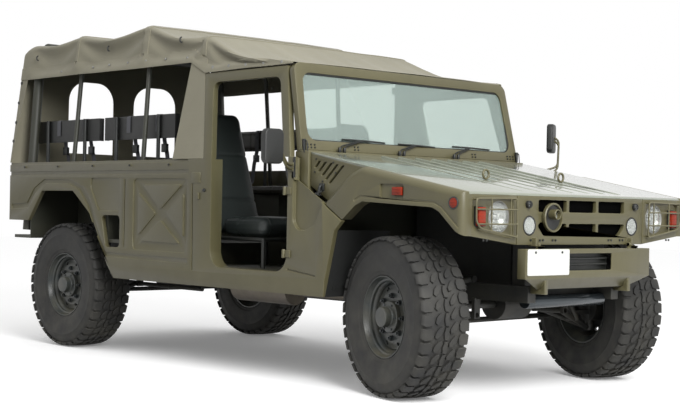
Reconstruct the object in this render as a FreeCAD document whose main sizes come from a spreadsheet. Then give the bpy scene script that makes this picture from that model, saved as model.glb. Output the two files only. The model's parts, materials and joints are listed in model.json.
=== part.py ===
import FreeCAD, Part

import math
import os

import Sketcher
from FreeCAD import Placement, Rotation, Vector

# Driving sizes in millimetres and degrees, grouped by the piece that they belong to
SIZES = {
    # Whole vehicle
    "overall_length": 4910.0,
    "body_width": 2150.0,
    "wheelbase": 3395.0,
    "front_overhang": 612.5,
    "track": 1820.0,
    # Tyres and rims
    "tyre_radius": 465.0,
    "tyre_width": 317.0,
    "tyre_shoulder": 34.0,
    "tyre_bead_radius": 236.0,
    "rim_wall": 8.0,
    "rim_half_width": 133.0,
    "rim_well_depth": 24.0,
    "rim_disc_inset": 62.0,
    "rim_disc_thickness": 12.0,
    "hub_radius": 92.0,
    "hub_length": 46.0,
    "hub_cap_radius": 58.0,
    "hub_cap_length": 38.0,
    # Knuckles and steering
    "kingpin_inset": 60.0,
    "kingpin_half_height": 112.0,
    "kingpin_radius": 30.0,
    "steer_rest_angle": 15.4,
    "portal_radius": 92.0,
    "portal_inboard": 20.0,
    "stub_radius": 38.0,
    "steering_arm_length": 230.0,
    "steering_arm_width": 46.0,
    "steering_arm_thickness": 26.0,
    "steering_arm_drop": 46.0,
    "steering_arm_inboard": 160.0,
    "tie_rod_radius": 17.0,
    "tie_rod_eye_radius": 27.0,
    "tie_rod_eye_height": 42.0,
    "portal_rise": 50.0,
    "portal_ball_radius": 45.0,
    "running_clearance": 6.0,
    "seat_clearance": 0.3,
    # Suspension arms
    "arm_pivot_inset": 425.0,
    "arm_half_spread": 100.0,
    "arm_tube_radius": 21.0,
    "arm_eye_radius": 34.0,
    "arm_eye_height": 40.0,
    "arm_pivot_height": 465.0,
    "arm_bracket_width": 50.0,
    "arm_bracket_thickness": 24.0,
    "damper_radius": 20.0,
    "damper_offset": 50.0,
    "damper_foot_place": 640.0,
    "torsion_bar_radius": 16.0,
    "torsion_bar_length": 800.0,
    "drive_shaft_radius": 24.0,
    "differential_radius": 95.0,
    "differential_length": 260.0,
    "propeller_shaft_radius": 38.0,
    # Chassis frame
    "rail_spacing": 800.0,
    "rail_width": 70.0,
    "rail_height": 95.0,
    "rail_wall": 8.0,
    "rail_bottom": 560.0,
    "crossmember_width": 90.0,
    # Body tub
    "panel": 34.0,
    "sheet": 6.0,
    "sill_bottom": 548.0,
    "sill_height": 132.0,
    "sill_fold_depth": 26.0,
    "belt_rise": 216.8,
    "quarter_bottom": 939.0,
    "rear_body_inset": 126.0,
    "load_floor_height": 800.0,
    "cab_floor_length": 1400.0,
    "floor_thickness": 24.0,
    "wheel_box_inboard": 600.0,
    "wheel_box_height": 1180.0,
    "firewall_setback": 600.0,
    "firewall_thickness": 24.0,
    "tunnel_half_width": 265.0,
    "tunnel_height": 930.0,
    # Door openings
    "door_rear_setback": 1599.5,
    "door_front_setback": 850.0,
    "door_round": 110.0,
    "door_top_round": 60.0,
    "door_head_drop": 65.0,
    "jamb_width": 62.0,
    "jamb_depth": 60.0,
    "frame_lean": 75.0,
    "frame_rear_setback": 1690.0,
    "frame_drop": 10.0,
    "frame_depth": 40.0,
    # Tank recess in the right and left sides
    "recess_rear_setback": 522.0,
    "recess_length": 234.0,
    "recess_slant": 60.0,
    "recess_bottom": 770.0,
    "recess_height": 228.0,
    "recess_round": 34.0,
    "tank_length": 420.0,
    "tank_width": 300.0,
    "tank_height": 230.0,
    # Cowl and windscreen
    "cowl_setback": 715.0,
    "cowl_rise": 5.0,
    "cowl_depth": 120.0,
    "cowl_thickness": 40.0,
    "screen_base_setback": 770.0,
    "screen_top_setback": 888.0,
    "screen_rise": 547.0,
    "screen_half_width": 1035.0,
    "screen_lean_in": 25.0,
    "screen_border": 62.0,
    "screen_corner": 70.0,
    "screen_frame_depth": 44.0,
    "glass_thickness": 6.0,
    "glass_overlap": 8.0,
    "scoop_depth": 60.0,
    # Clamshell hood and fenders
    "hood_rear_setback": 710.0,
    "hood_fall": 236.0,
    "hood_over_arch": 62.0,
    "hood_front_inset": 62.0,
    "hood_gap": 8.0,
    "hood_skin": 14.0,
    "hood_side_half_width": 1012.0,
    "fender_half_width": 1070.0,
    "fender_thickness": 24.0,
    "nose_half_width": 600.0,
    "nose_bottom": 895.0,
    "nose_thickness": 26.0,
    "corner_bottom": 943.0,
    "hinge_forward": 20.0,
    "hood_pin_radius": 8.0,
    "hood_pin_play": 0.05,
    "hood_lug_radius": 14.0,
    "hood_lug_width": 20.0,
    "hood_lug_place": 440.0,
    "hood_ear_height": 40.0,
    # Grille
    "grille_half_width": 415.0,
    "grille_top": 1150.0,
    "grille_bottom": 947.0,
    "grille_bar": 66.0,
    "grille_post": 22.0,
    # Lamps
    "headlamp_radius": 88.0,
    "headlamp_place": 748.0,
    "headlamp_height": 1049.0,
    "headlamp_depth": 46.0,
    "indicator_width": 62.0,
    "indicator_height": 110.0,
    "indicator_place": 925.0,
    "fog_radius": 56.0,
    "fog_place": 494.0,
    "fog_height": 1003.0,
    "marker_radius": 20.0,
    "marker_place": 514.0,
    "marker_height": 1123.0,
    "blackout_radius": 84.0,
    "blackout_place": 307.0,
    "blackout_height": 1050.0,
    "side_lamp_setback": 70.0,
    "side_lamp_length": 110.0,
    "side_lamp_height": 52.0,
    "side_lamp_level": 1182.0,
    "reflector_radius": 34.0,
    "reflector_setback": 490.0,
    "reflector_level": 1121.0,
    "guard_standoff": 34.0,
    "tail_lamp_width": 90.0,
    "tail_lamp_height": 170.0,
    "tail_lamp_depth": 40.0,
    # Hood fittings
    "ring_radius": 26.0,
    "ring_rod_radius": 7.0,
    "ring_setback": 115.0,
    "ring_place": 361.0,
    # Bumpers and towing
    "bumper_half_width": 598.0,
    "bumper_bottom": 705.0,
    "bumper_height": 168.0,
    "bumper_depth": 60.0,
    "bumper_wall": 8.0,
    "skid_tube_radius": 38.0,
    "skid_tube_setback": 190.0,
    "skid_tube_height": 560.0,
    "tow_lug_thickness": 28.0,
    "tow_lug_height": 90.0,
    "tow_lug_length": 110.0,
    "tow_bore_radius": 18.0,
    "tow_lug_place": 400.0,
    "pintle_plate": 20.0,
    "pintle_width": 180.0,
    "pintle_bore_radius": 21.0,
    "pintle_gap": 50.0,
    # Engine bay masses
    "engine_length": 760.0,
    "engine_width": 520.0,
    "engine_height": 550.0,
    "radiator_width": 760.0,
    "radiator_height": 400.0,
    "radiator_depth": 90.0,
    "gearbox_setback": 932.5,
    "gearbox_length": 760.0,
    "gearbox_width": 360.0,
    "gearbox_bottom": 450.0,
    "gearbox_height": 300.0,
    "exhaust_radius": 32.0,
    "silencer_radius": 95.0,
    "silencer_length": 560.0,
    "silencer_place": 600.0,
    "silencer_height": 530.0,
    "silencer_setback": 1282.5,
    "exhaust_length": 1060.0,
    "hanger_width": 30.0,
    # Canopy
    "canvas": 12.0,
    "canopy_rise": 388.0,
    "canopy_shoulder_half_width": 950.0,
    "canopy_rear_lean": 79.0,
    "canopy_bend_setback": 2500.0,
    "canopy_sag": 22.0,
    "canopy_chamfer": 45.0,
    "canopy_knee_setback": 1815.5,
    "canopy_knee_drop": 132.0,
    "side_window_rear_inset": 74.0,
    "side_window_front": 2029.0,
    "side_window_drop": 310.0,
    "side_window_lift": 10.0,
    "rear_window_half_width": 220.0,
    "rear_window_place": 325.0,
    "rear_window_lift": 100.0,
    "rear_window_drop": 280.0,
    "rear_window_round": 160.0,
    "pole_radius": 17.0,
    "pole_one_setback": 2516.5,
    "pole_two_setback": 3388.5,
    "pole_base_place": 1000.0,
    "pole_knee_place": 920.0,
    "pole_knee_drop": 220.0,
    "pole_top_place": 840.0,
    "hoop_radius": 38.0,
    "hoop_setback": 4013.5,
    "hoop_base_place": 1000.0,
    "hoop_knee_place": 915.0,
    # Seats
    "seat_width": 470.0,
    "seat_cushion_length": 480.0,
    "seat_cushion_thickness": 130.0,
    "seat_cushion_top": 1010.0,
    "seat_back_height": 730.0,
    "seat_back_thickness": 110.0,
    "seat_back_lean": 12.0,
    "seat_setback": 1780.0,
    "seat_place": 640.0,
    "seat_leg_radius": 14.0,
    "seat_back_gap": 20.0,
    "bench_back_height": 170.0,
    "bench_back_thickness": 46.0,
    "bench_back_bottom": 1550.0,
    "bench_back_length": 870.0,
    "bench_back_place": 892.0,
    "bench_cushion_width": 400.0,
    "bench_cushion_thickness": 70.0,
    "bench_gap": 70.0,
    "bench_front_setback": 2247.5,
    # Dashboard and steering wheel
    "dash_depth": 190.0,
    "dash_height": 210.0,
    "dash_inset": 30.0,
    "steering_wheel_radius": 205.0,
    "steering_wheel_rim": 15.0,
    "steering_hub_radius": 42.0,
    "steering_spoke_radius": 9.0,
    "steering_wheel_place": 560.0,
    "steering_wheel_setback": 1120.0,
    "steering_wheel_drop": 95.0,
    "steering_column_tilt": 50.0,
    "steering_column_radius": 22.0,
    "steering_column_length": 330.0,
    # Mirrors and wipers
    "mirror_width": 150.0,
    "mirror_height": 210.0,
    "mirror_depth": 46.0,
    "mirror_place": 1330.0,
    "mirror_left_height": 1610.0,
    "mirror_right_height": 1440.0,
    "mirror_setback": 705.0,
    "mirror_tube_radius": 9.0,
    "mirror_foot": 60.0,
    "mirror_foot_thickness": 12.0,
    "wiper_length": 430.0,
    "wiper_arm_width": 16.0,
    "wiper_pivot_radius": 14.0,
    "wiper_pivot_height": 34.0,
    "wiper_blade_height": 14.0,
    "wiper_setback": 738.0,
    # Rear door
    "rear_door_half_width": 420.0,
    "rear_door_bottom": 780.0,
    "rear_door_gap": 8.0,
    "hinge_pin_radius": 10.0,
    "hinge_pin_length": 70.0,
    "hinge_leaf_width": 70.0,
    # Cuts run past the faces that they cut by this much
    "overrun": 20.0,
}

# Outlines of the wheel arches, as shares of the tyre's radius from the wheel's centre
FRONT_ARCH_SHARES = [(-1.145, 0.179), (-0.984, 0.815), (-0.926, 1.041), (-0.573, 1.359),
                     (-0.451, 1.413), (0.711, 1.355), (0.823, 1.308), (1.083, 1.080)]
REAR_ARCH_SHARES = [(1.434, 0.179), (0.790, 1.166), (0.293, 1.523), (-0.635, 1.518),
                    (-1.053, 1.019)]
# Outer crease of the front arch's flare, in the same shares
FRONT_FLARE_SHARES = [(-0.801, 1.163), (-1.151, 1.380), (-0.704, 1.761), (-0.474, 1.837)]
# Scoop behind the front arch, in the same shares
SCOOP_SHARES = [(-1.719, 1.703), (-1.719, 1.142), (-1.640, 1.035), (-1.500, 1.022),
                (-1.289, 1.099), (-1.151, 1.380)]


class Dim(float):
    """A length or an angle that keeps the sheet formula that gives it."""

    def __new__(cls, value, formula):
        size = super().__new__(cls, value)
        size.formula = formula
        return size

    def __add__(self, other):
        return Dim(float(self) + float(other), "(%s + %s)" % (formula_of(self), formula_of(other)))

    def __radd__(self, other):
        return Dim(float(other) + float(self), "(%s + %s)" % (formula_of(other), formula_of(self)))

    def __sub__(self, other):
        return Dim(float(self) - float(other), "(%s - %s)" % (formula_of(self), formula_of(other)))

    def __rsub__(self, other):
        return Dim(float(other) - float(self), "(%s - %s)" % (formula_of(other), formula_of(self)))

    def __mul__(self, other):
        return Dim(float(self) * float(other), "(%s * %s)" % (formula_of(self), formula_of(other)))

    def __rmul__(self, other):
        return Dim(float(other) * float(self), "(%s * %s)" % (formula_of(other), formula_of(self)))

    def __truediv__(self, other):
        return Dim(float(self) / float(other), "(%s / %s)" % (formula_of(self), formula_of(other)))

    def __neg__(self):
        return Dim(-float(self), "(0 - %s)" % formula_of(self))


def formula_of(value):
    """Return the sheet formula of a size, or the number itself as text."""
    return value.formula if isinstance(value, Dim) else repr(float(value))


class Sizes:
    """The sheet's sizes, and the stations that are worked out from them."""

    def __init__(self, doc):
        sheet = doc.addObject("Spreadsheet::Sheet", "Sizes")
        for row, (alias, value) in enumerate(SIZES.items(), start=1):
            sheet.set("A%d" % row, alias)
            sheet.set("B%d" % row, str(value))
            sheet.setAlias("B%d" % row, alias)
        doc.recompute()
        for alias in SIZES:
            setattr(self, alias, Dim(getattr(sheet, alias), "Sizes.%s" % alias))
        self.derive()

    def derive(self):
        """Work out the stations along, across and above from the driving sizes."""
        self.front_end = self.overall_length / 2
        self.rear_end = -self.front_end
        self.front_axle = self.front_end - self.front_overhang
        self.rear_axle = self.front_axle - self.wheelbase
        self.half_width = self.body_width / 2
        self.half_track = self.track / 2
        self.kingpin_place = self.half_track - self.kingpin_inset
        self.rear_body = self.rear_end + self.rear_body_inset
        self.sill_top = self.sill_bottom + self.sill_height
        self.door_rear = self.front_axle - self.door_rear_setback
        self.door_front = self.front_axle - self.door_front_setback
        self.frame_rear = self.front_axle - self.frame_rear_setback
        self.cowl_front = self.front_axle - self.cowl_setback
        self.cowl_rear = self.cowl_front - self.cowl_depth
        self.screen_base = self.front_axle - self.screen_base_setback
        self.screen_top = self.front_axle - self.screen_top_setback
        self.hood_rear = self.front_axle - self.hood_rear_setback
        self.hood_front = self.front_end - self.hood_front_inset
        self.hinge_x = self.hood_front + self.hinge_forward
        front_arch_top = max(up for along, up in FRONT_ARCH_SHARES)
        rear_arch_top = max(up for along, up in REAR_ARCH_SHARES)
        self.hood_front_height = (self.tyre_radius + self.tyre_radius * front_arch_top
                                  + self.hood_over_arch)
        self.hood_rear_height = self.hood_front_height + self.hood_fall
        self.belt_height = (self.tyre_radius + self.tyre_radius * rear_arch_top
                            + self.belt_rise)
        self.cowl_height = self.hood_rear_height + self.cowl_rise
        self.screen_top_height = self.cowl_height + self.screen_rise
        self.frame_top = self.screen_top_height - self.frame_drop
        self.door_head_height = self.frame_top - self.door_head_drop
        self.canopy_top = self.screen_top_height + self.canopy_rise
        self.side_window_top = self.canopy_top - self.side_window_drop
        self.side_window_bottom = self.belt_height + self.side_window_lift
        self.rear_window_bottom = self.belt_height + self.rear_window_lift
        self.rear_window_top = self.canopy_top - self.rear_window_drop
        self.pole_knee_height = self.canopy_top - self.pole_knee_drop
        self.steering_wheel_height = self.cowl_height - self.steering_wheel_drop
        self.hood_length = self.hood_front - self.hood_rear
        self.rail_place = self.rail_spacing / 2
        self.rail_top = self.rail_bottom + self.rail_height
        self.cab_floor_height = self.rail_top + self.seat_clearance
        self.firewall = self.front_axle - self.firewall_setback
        self.cab_floor_rear = self.firewall - self.cab_floor_length
        self.canopy_bend = self.front_axle - self.canopy_bend_setback
        self.canopy_knee = self.front_axle - self.canopy_knee_setback
        self.canopy_knee_height = self.canopy_top - self.canopy_knee_drop
        self.canopy_bend_rear = self.front_axle - self.pole_one_setback - self.pole_radius
        self.canopy_middle = self.front_axle - self.pole_two_setback
        self.canopy_hoop = self.front_axle - self.hoop_setback + self.hoop_radius
        self.side_window_rear = self.rear_body + self.side_window_rear_inset
        self.side_window_end = self.front_axle - self.side_window_front
        self.shaft_height = self.tyre_radius + self.portal_rise
        self.seat_rear = self.front_axle - self.seat_setback

    def hood_level(self, x):
        """Return the height of the hood's top at station x."""
        slope = self.hood_fall / self.hood_length
        return self.hood_rear_height - (x - self.hood_rear) * slope

    def arch(self, axle, shares):
        """Return an outline given as shares of the tyre's radius from a wheel's centre."""
        radius = self.tyre_radius
        return [(axle + radius * along, radius + radius * up) for along, up in shares]


class Model:
    """The document, with one method for each way of making a bound solid."""

    PLANES = {"XY": ("XY_Plane", "z", False), "XZ": ("XZ_Plane", "y", True),
              "YZ": ("YZ_Plane", "x", False)}

    def __init__(self, doc):
        self.doc = doc
        self.nodes = {}
        self.count = 0

    def label(self, kind):
        """Return a fresh name for a helper object."""
        self.count += 1
        return "%s_%03d" % (kind, self.count)

    def bind(self, item, prop, value):
        """Tie a property to the sheet."""
        item.setExpression(prop, formula_of(value))

    def locate(self, item, place):
        """Tie an object's base point to the sheet."""
        for axis, value in zip("xyz", place):
            self.bind(item, "Placement.Base.%s" % axis, value)

    def block(self, low, high):
        """Make a box between two corners."""
        item = self.doc.addObject("Part::Box", self.label("Block"))
        for prop, near, far in zip(("Length", "Width", "Height"), low, high):
            self.bind(item, prop, far - near)
        self.locate(item, low)
        return item

    def rod(self, start, end, radius, end_radius=None):
        """Make a cylinder, or a cone when two radii are given, from start to end."""
        run = Vector(*end) - Vector(*start)
        spans = [far - near for near, far in zip(start, end)]
        if end_radius is None:
            item = self.doc.addObject("Part::Cylinder", self.label("Rod"))
            self.bind(item, "Radius", radius)
        else:
            item = self.doc.addObject("Part::Cone", self.label("Cone"))
            self.bind(item, "Radius1", radius)
            self.bind(item, "Radius2", end_radius)
        squares = " + ".join("(%s)^2" % formula_of(span) for span in spans)
        item.setExpression("Height", "sqrt(%s)" % squares)
        item.Placement = Placement(Vector(*start), Rotation(Vector(0, 0, 1), run))
        self.locate(item, start)
        return item

    def ball(self, centre, radius):
        """Make a sphere."""
        item = self.doc.addObject("Part::Sphere", self.label("Ball"))
        self.bind(item, "Radius", radius)
        self.locate(item, centre)
        return item

    def sketch(self, body, plane, points):
        """Draw a closed outline whose corners are tied to the sheet."""
        role = self.PLANES[plane][0]
        support = [item for item in body.Origin.OriginFeatures if item.Role == role][0]
        drawing = body.newObject("Sketcher::SketchObject", self.label("Outline"))
        drawing.AttachmentSupport = [(support, "")]
        drawing.MapMode = "FlatFace"
        corners = [Vector(float(u), float(v), 0) for u, v in points]
        total = len(corners)
        drawing.addGeometry([Part.LineSegment(corners[i], corners[(i + 1) % total])
                             for i in range(total)])
        ties = [Sketcher.Constraint("Coincident", i, 2, (i + 1) % total, 1)
                for i in range(total)]
        for i, corner in enumerate(corners):
            ties.append(Sketcher.Constraint("DistanceX", -1, 1, i, 1, corner.x))
            ties.append(Sketcher.Constraint("DistanceY", -1, 1, i, 1, corner.y))
        drawing.addConstraint(ties)
        for i, (u, v) in enumerate(points):
            self.bind(drawing, "Constraints[%d]" % (total + 2 * i), u)
            self.bind(drawing, "Constraints[%d]" % (total + 2 * i + 1), v)
        return drawing

    def plate(self, plane, points, low, high, rounds=()):
        """Extrude an outline from low to high along the plane's normal.

        rounds lists pairs of a radius and the corners' numbers that it rounds.
        """
        axis, reverse = self.PLANES[plane][1:]
        body = self.doc.addObject("PartDesign::Body", self.label("Plate"))
        drawing = self.sketch(body, plane, points)
        pad = body.newObject("PartDesign::Pad", self.label("Pad"))
        pad.Profile = drawing
        pad.Reversed = reverse
        self.bind(pad, "Length", high - low)
        for radius, numbers in rounds:
            self.doc.recompute()
            tip = body.Tip
            names = self.corner_edges(tip.Shape, plane, [points[n] for n in numbers])
            fillet = body.newObject("PartDesign::Fillet", self.label("Round"))
            fillet.Base = (tip, names)
            self.bind(fillet, "Radius", radius)
        self.bind(body, "Placement.Base.%s" % axis, low)
        return body

    def corner_edges(self, shape, plane, corners):
        """Return the names of the edges that run through the given corners."""
        pick = {"XY": (0, 1, 2), "XZ": (0, 2, 1), "YZ": (1, 2, 0)}[plane]
        names = []
        for number, edge in enumerate(shape.Edges, start=1):
            ends = [vertex.Point for vertex in edge.Vertexes]
            if len(ends) != 2 or abs(ends[0][pick[2]] - ends[1][pick[2]]) < 1e-6:
                continue
            for u, v in corners:
                near = [abs(end[pick[0]] - u) + abs(end[pick[1]] - v) < 1e-3 for end in ends]
                if all(near):
                    names.append("Edge%d" % number)
        return names

    def turned(self, points):
        """Revolve an outline of (along, radius) pairs about the Y axis."""
        body = self.doc.addObject("PartDesign::Body", self.label("Turned"))
        drawing = self.sketch(body, "YZ", points)
        feature = body.newObject("PartDesign::Revolution", self.label("Turn"))
        feature.Profile = drawing
        feature.ReferenceAxis = (drawing, ["H_Axis"])
        feature.Angle = 360
        return body

    def ring(self, centre, axis, radius, rod_radius):
        """Make a torus about the given axis."""
        item = self.doc.addObject("Part::Torus", self.label("Ring"))
        self.bind(item, "Radius1", radius)
        self.bind(item, "Radius2", rod_radius)
        item.Placement = Placement(Vector(*centre), Rotation(Vector(0, 0, 1), Vector(*axis)))
        self.locate(item, centre)
        return item

    def join(self, *items):
        """Fuse solids into one."""
        if len(items) == 1:
            return items[0]
        fused = self.doc.addObject("Part::MultiFuse", self.label("Joined"))
        fused.Shapes = list(items)
        fused.Refine = True
        return fused

    def cut(self, base, *tools):
        """Cut tools out of a solid."""
        result = self.doc.addObject("Part::Cut", self.label("Cut"))
        result.Base = base
        result.Tool = self.join(*tools)
        result.Refine = True
        return result

    def common(self, first, second):
        """Keep what two solids share."""
        result = self.doc.addObject("Part::Common", self.label("Shared"))
        result.Base = first
        result.Tool = second
        result.Refine = True
        return result

    def group(self, *items):
        """Keep separate solids side by side in one piece."""
        result = self.doc.addObject("Part::Compound", self.label("Group"))
        result.Links = list(items)
        return result

    def node(self, name, *items):
        """Name a finished sub-part, which also names its file."""
        if len(items) == 1 and not items[0].InList:
            result = items[0]
        else:
            result = self.group(*items)
        result.Label = name
        self.nodes[name] = result
        return result


def span(sign, inner, outer):
    """Return the low and high Y of a stretch on the left (1) or the right (-1)."""
    return (inner, outer) if sign > 0 else (-outer, -inner)


def side_y(sign, place):
    """Return a place across the vehicle on the given side."""
    return place if sign > 0 else -place


SIDES = (("right", -1), ("left", 1))


def make_frame(m, s):
    """Ladder frame of two box rails and crossmembers, with the towing points."""
    rails = []
    rear = s.rear_body + s.panel
    front = s.front_end - s.tow_lug_length - s.seat_clearance
    for _, sign in SIDES:
        low, high = span(sign, s.rail_place - s.rail_width / 2, s.rail_place + s.rail_width / 2)
        rails.append(m.block((rear, low, s.rail_bottom), (front, high, s.rail_top)))
    stations = [rear, s.rear_axle - s.tyre_radius, s.rear_axle + s.tyre_radius, s.cab_floor_rear,
                s.front_axle - s.tyre_radius, s.front_axle + s.tyre_radius * 0.6]
    members = []
    inner = s.rail_place - s.rail_width / 2
    for x in stations:
        members.append(m.block((x, -inner, s.rail_bottom),
                               (x + s.crossmember_width, inner, s.rail_top - s.rail_wall)))
    for axle in (s.front_axle, s.rear_axle):
        for _, sign in SIDES:
            low, high = span(sign, s.arm_pivot_inset - s.arm_bracket_width / 2,
                             s.arm_pivot_inset + s.arm_bracket_width / 2)
            for end in (-1, 1):
                near = axle + end * (s.arm_half_spread + s.seat_clearance)
                far = near + end * s.arm_bracket_thickness
                start, stop = (near, far) if end > 0 else (far, near)
                members.append(m.block((start, low, s.arm_pivot_height - s.arm_tube_radius),
                                       (stop, high, s.rail_bottom + s.rail_wall)))
    pintle = make_pintle(m, s, rear)
    bores = []
    reach = s.arm_half_spread + s.arm_bracket_thickness + s.overrun
    for axle in (s.front_axle, s.rear_axle):
        for _, sign in SIDES:
            y = side_y(sign, s.arm_pivot_inset)
            bores.append(m.rod((axle - reach, y, s.arm_pivot_height),
                               (axle + reach, y, s.arm_pivot_height),
                               s.torsion_bar_radius + s.seat_clearance))
    m.node("chassis_frame", m.cut(m.join(*rails, *members, *pintle), *bores))


def make_pintle(m, s, rear):
    """Rear towing jaw: two plates with a vertical pin bore, on a back plate."""
    plates = []
    half = s.pintle_width / 2
    middle = s.rail_bottom + s.rail_height / 2
    back = m.block((rear - s.panel - s.pintle_plate, -half, s.rail_bottom),
                   (rear, half, s.rail_top))
    for side in (-1, 1):
        level = middle + side * s.pintle_gap / 2
        low = level if side > 0 else level - s.pintle_plate
        plate = m.block((s.rear_end, -half / 2, low), (rear, half / 2, low + s.pintle_plate))
        plates.append(plate)
    jaw = m.join(back, *plates)
    bore_x = s.rear_end + s.pintle_bore_radius * 2
    bore = m.rod((bore_x, 0, s.rail_bottom - s.overrun), (bore_x, 0, s.rail_top + s.overrun),
                 s.pintle_bore_radius)
    return [m.cut(jaw, bore)]


def make_floor(m, s):
    """Cab floor, raised load floor, wheel boxes, tunnel and firewall in one tub."""
    inner = s.half_width - s.panel
    step = s.cab_floor_rear
    cab = m.block((step, -inner, s.cab_floor_height),
                  (s.firewall, inner, s.cab_floor_height + s.floor_thickness))
    load = m.block((s.rear_body + s.panel, -inner, s.load_floor_height),
                   (step, inner, s.load_floor_height + s.floor_thickness))
    riser = m.block((step, -inner, s.cab_floor_height),
                    (step + s.floor_thickness, inner, s.load_floor_height + s.floor_thickness))
    wall_front = s.firewall + s.firewall_thickness
    upper = s.hood_side_half_width - s.fender_thickness - s.running_clearance
    wall = m.block((s.firewall, -inner, s.cab_floor_height),
                   (wall_front, inner, s.wheel_box_height - s.scoop_depth))
    screen = m.block((s.firewall, -upper, s.cab_floor_height),
                     (wall_front, upper,
                      s.hood_level(wall_front) - s.hood_skin - s.running_clearance))
    tunnel = m.block((step, -s.tunnel_half_width, s.cab_floor_height),
                     (s.firewall, s.tunnel_half_width, s.tunnel_height))
    hollow = m.block((step - s.overrun, s.sheet - s.tunnel_half_width,
                      s.cab_floor_height - s.overrun),
                     (s.firewall + s.firewall_thickness + s.overrun,
                      s.tunnel_half_width - s.sheet, s.tunnel_height - s.sheet))
    pieces = [cab, load, riser, wall, screen, tunnel]
    wells = []
    for _, sign in SIDES:
        low, high = span(sign, inner - s.jamb_depth - s.seat_clearance, inner + s.overrun)
        wells.append(m.block((s.door_rear - s.jamb_width, low, s.cab_floor_height - s.overrun),
                             (s.door_front + s.jamb_width, high,
                              s.cab_floor_height + s.floor_thickness + s.overrun)))
    box_front = s.rear_axle + s.tyre_radius * 1.2
    box_rear = s.rear_axle - s.tyre_radius * 1.08
    for _, sign in SIDES:
        low, high = span(sign, s.wheel_box_inboard, inner)
        pieces.append(m.block((box_rear - s.sheet, low, s.load_floor_height),
                              (box_front + s.sheet, high, s.wheel_box_height)))
        low, high = span(sign, s.wheel_box_inboard + s.sheet, inner + s.overrun)
        wells.append(m.block((box_rear, low, s.load_floor_height - s.overrun),
                             (box_front, high, s.wheel_box_height - s.sheet)))
    m.node("floor_pan", m.cut(m.join(*pieces), hollow, *wells))


def make_body_side(m, s, name, sign):
    """Pressed body side: quarter, belt, sill, scoop and the frame round the door."""
    low, high = span(sign, s.half_width - s.panel, s.half_width)
    front_arch = s.arch(s.front_axle, FRONT_ARCH_SHARES[:3])
    rear_arch = s.arch(s.rear_axle, REAR_ARCH_SHARES)
    scoop = s.arch(s.front_axle, SCOOP_SHARES)
    cut_low = s.arch(s.front_axle, FRONT_FLARE_SHARES[:1])[0]
    cut_high = s.arch(s.front_axle, FRONT_FLARE_SHARES[1:2])[0]
    outline = ([(s.rear_body, s.belt_height), (s.rear_body, s.quarter_bottom)]
               + [(point[0], point[1]) for point in reversed(rear_arch)]
               + [(rear_arch[0][0] + s.sill_fold_depth, s.sill_bottom)]
               + [(front_arch[0][0], s.sill_bottom)] + front_arch[1:]
               + [cut_low, cut_high, scoop[0], (scoop[0][0], s.belt_height)])
    skin = m.plate("XZ", outline, low, high)
    door = m.plate("XZ", [(s.door_rear, s.sill_top), (s.door_front, s.sill_top),
                          (s.door_front, s.belt_height + s.overrun),
                          (s.door_rear, s.belt_height + s.overrun)],
                   low - s.overrun, high + s.overrun, [(s.door_round, (0, 1))])
    recess = m.plate("XZ", recess_outline(s), low - s.overrun, high + s.overrun,
                     [(s.recess_round, (0, 1, 2, 3))])
    skin = m.cut(skin, door, recess)
    jamb_low, jamb_high = span(sign, s.half_width - s.panel - s.jamb_depth,
                               s.half_width - s.panel)
    jamb = m.plate("XZ", jamb_outline(s, s.jamb_width), jamb_low, jamb_high)
    gap = m.plate("XZ", jamb_outline(s, s.sheet), jamb_low - s.overrun, jamb_high + s.overrun,
                  [(s.door_round, (0, 1))])
    frame = make_door_frame(m, s, sign)
    m.node(name, m.join(skin, m.cut(jamb, gap), frame))


def recess_outline(s):
    """Opening ahead of the rear wheel, with its slanted rear edge."""
    rear = s.rear_axle + s.recess_rear_setback
    front = rear + s.recess_length
    top = s.recess_bottom + s.recess_height
    return [(rear + s.recess_slant, s.recess_bottom), (front, s.recess_bottom),
            (front, top), (rear, top)]


def jamb_outline(s, margin):
    """Outline round the door opening, wider than it by a margin at the rear and below."""
    top = s.cowl_height - s.cowl_thickness - s.seat_clearance
    return [(s.door_rear - margin + s.sheet, s.sill_top - margin + s.sheet),
            (s.door_front + margin - s.sheet, s.sill_top - margin + s.sheet),
            (s.door_front + margin - s.sheet, top), (s.door_rear - margin + s.sheet, top)]


def make_door_frame(m, s, sign):
    """Upper frame over the door: rear pillar, header and screen pillar, leaning in."""
    top_y = s.half_width - s.frame_lean
    base_y = s.half_width
    lean = s.frame_depth
    rear, front = s.frame_rear, s.screen_base - s.screen_border
    inner_rear, inner_front = s.door_rear, s.screen_base - s.screen_border * 2
    top, head = s.frame_top, s.door_head_height
    front_top = s.screen_top - s.screen_border
    run = top - s.belt_height
    outline = [(rear, s.belt_height), (inner_rear, s.belt_height), (inner_rear, head),
               (front_top - s.screen_border, head), (inner_front, s.belt_height),
               (front, s.belt_height), (front_top, top), (rear, top)]
    low, high = span(sign, top_y - lean, base_y)
    plate = m.plate("XZ", outline, low, high, [(s.door_top_round, (2, 3))])
    section = [(base_y, s.belt_height), (top_y, s.belt_height + run), (top_y - lean,
               s.belt_height + run), (base_y - lean, s.belt_height)]
    wedge = m.plate("YZ", [(side_y(sign, y), z) for y, z in section],
                    rear - s.overrun, s.screen_base + s.overrun)
    return m.common(plate, wedge)


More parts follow.
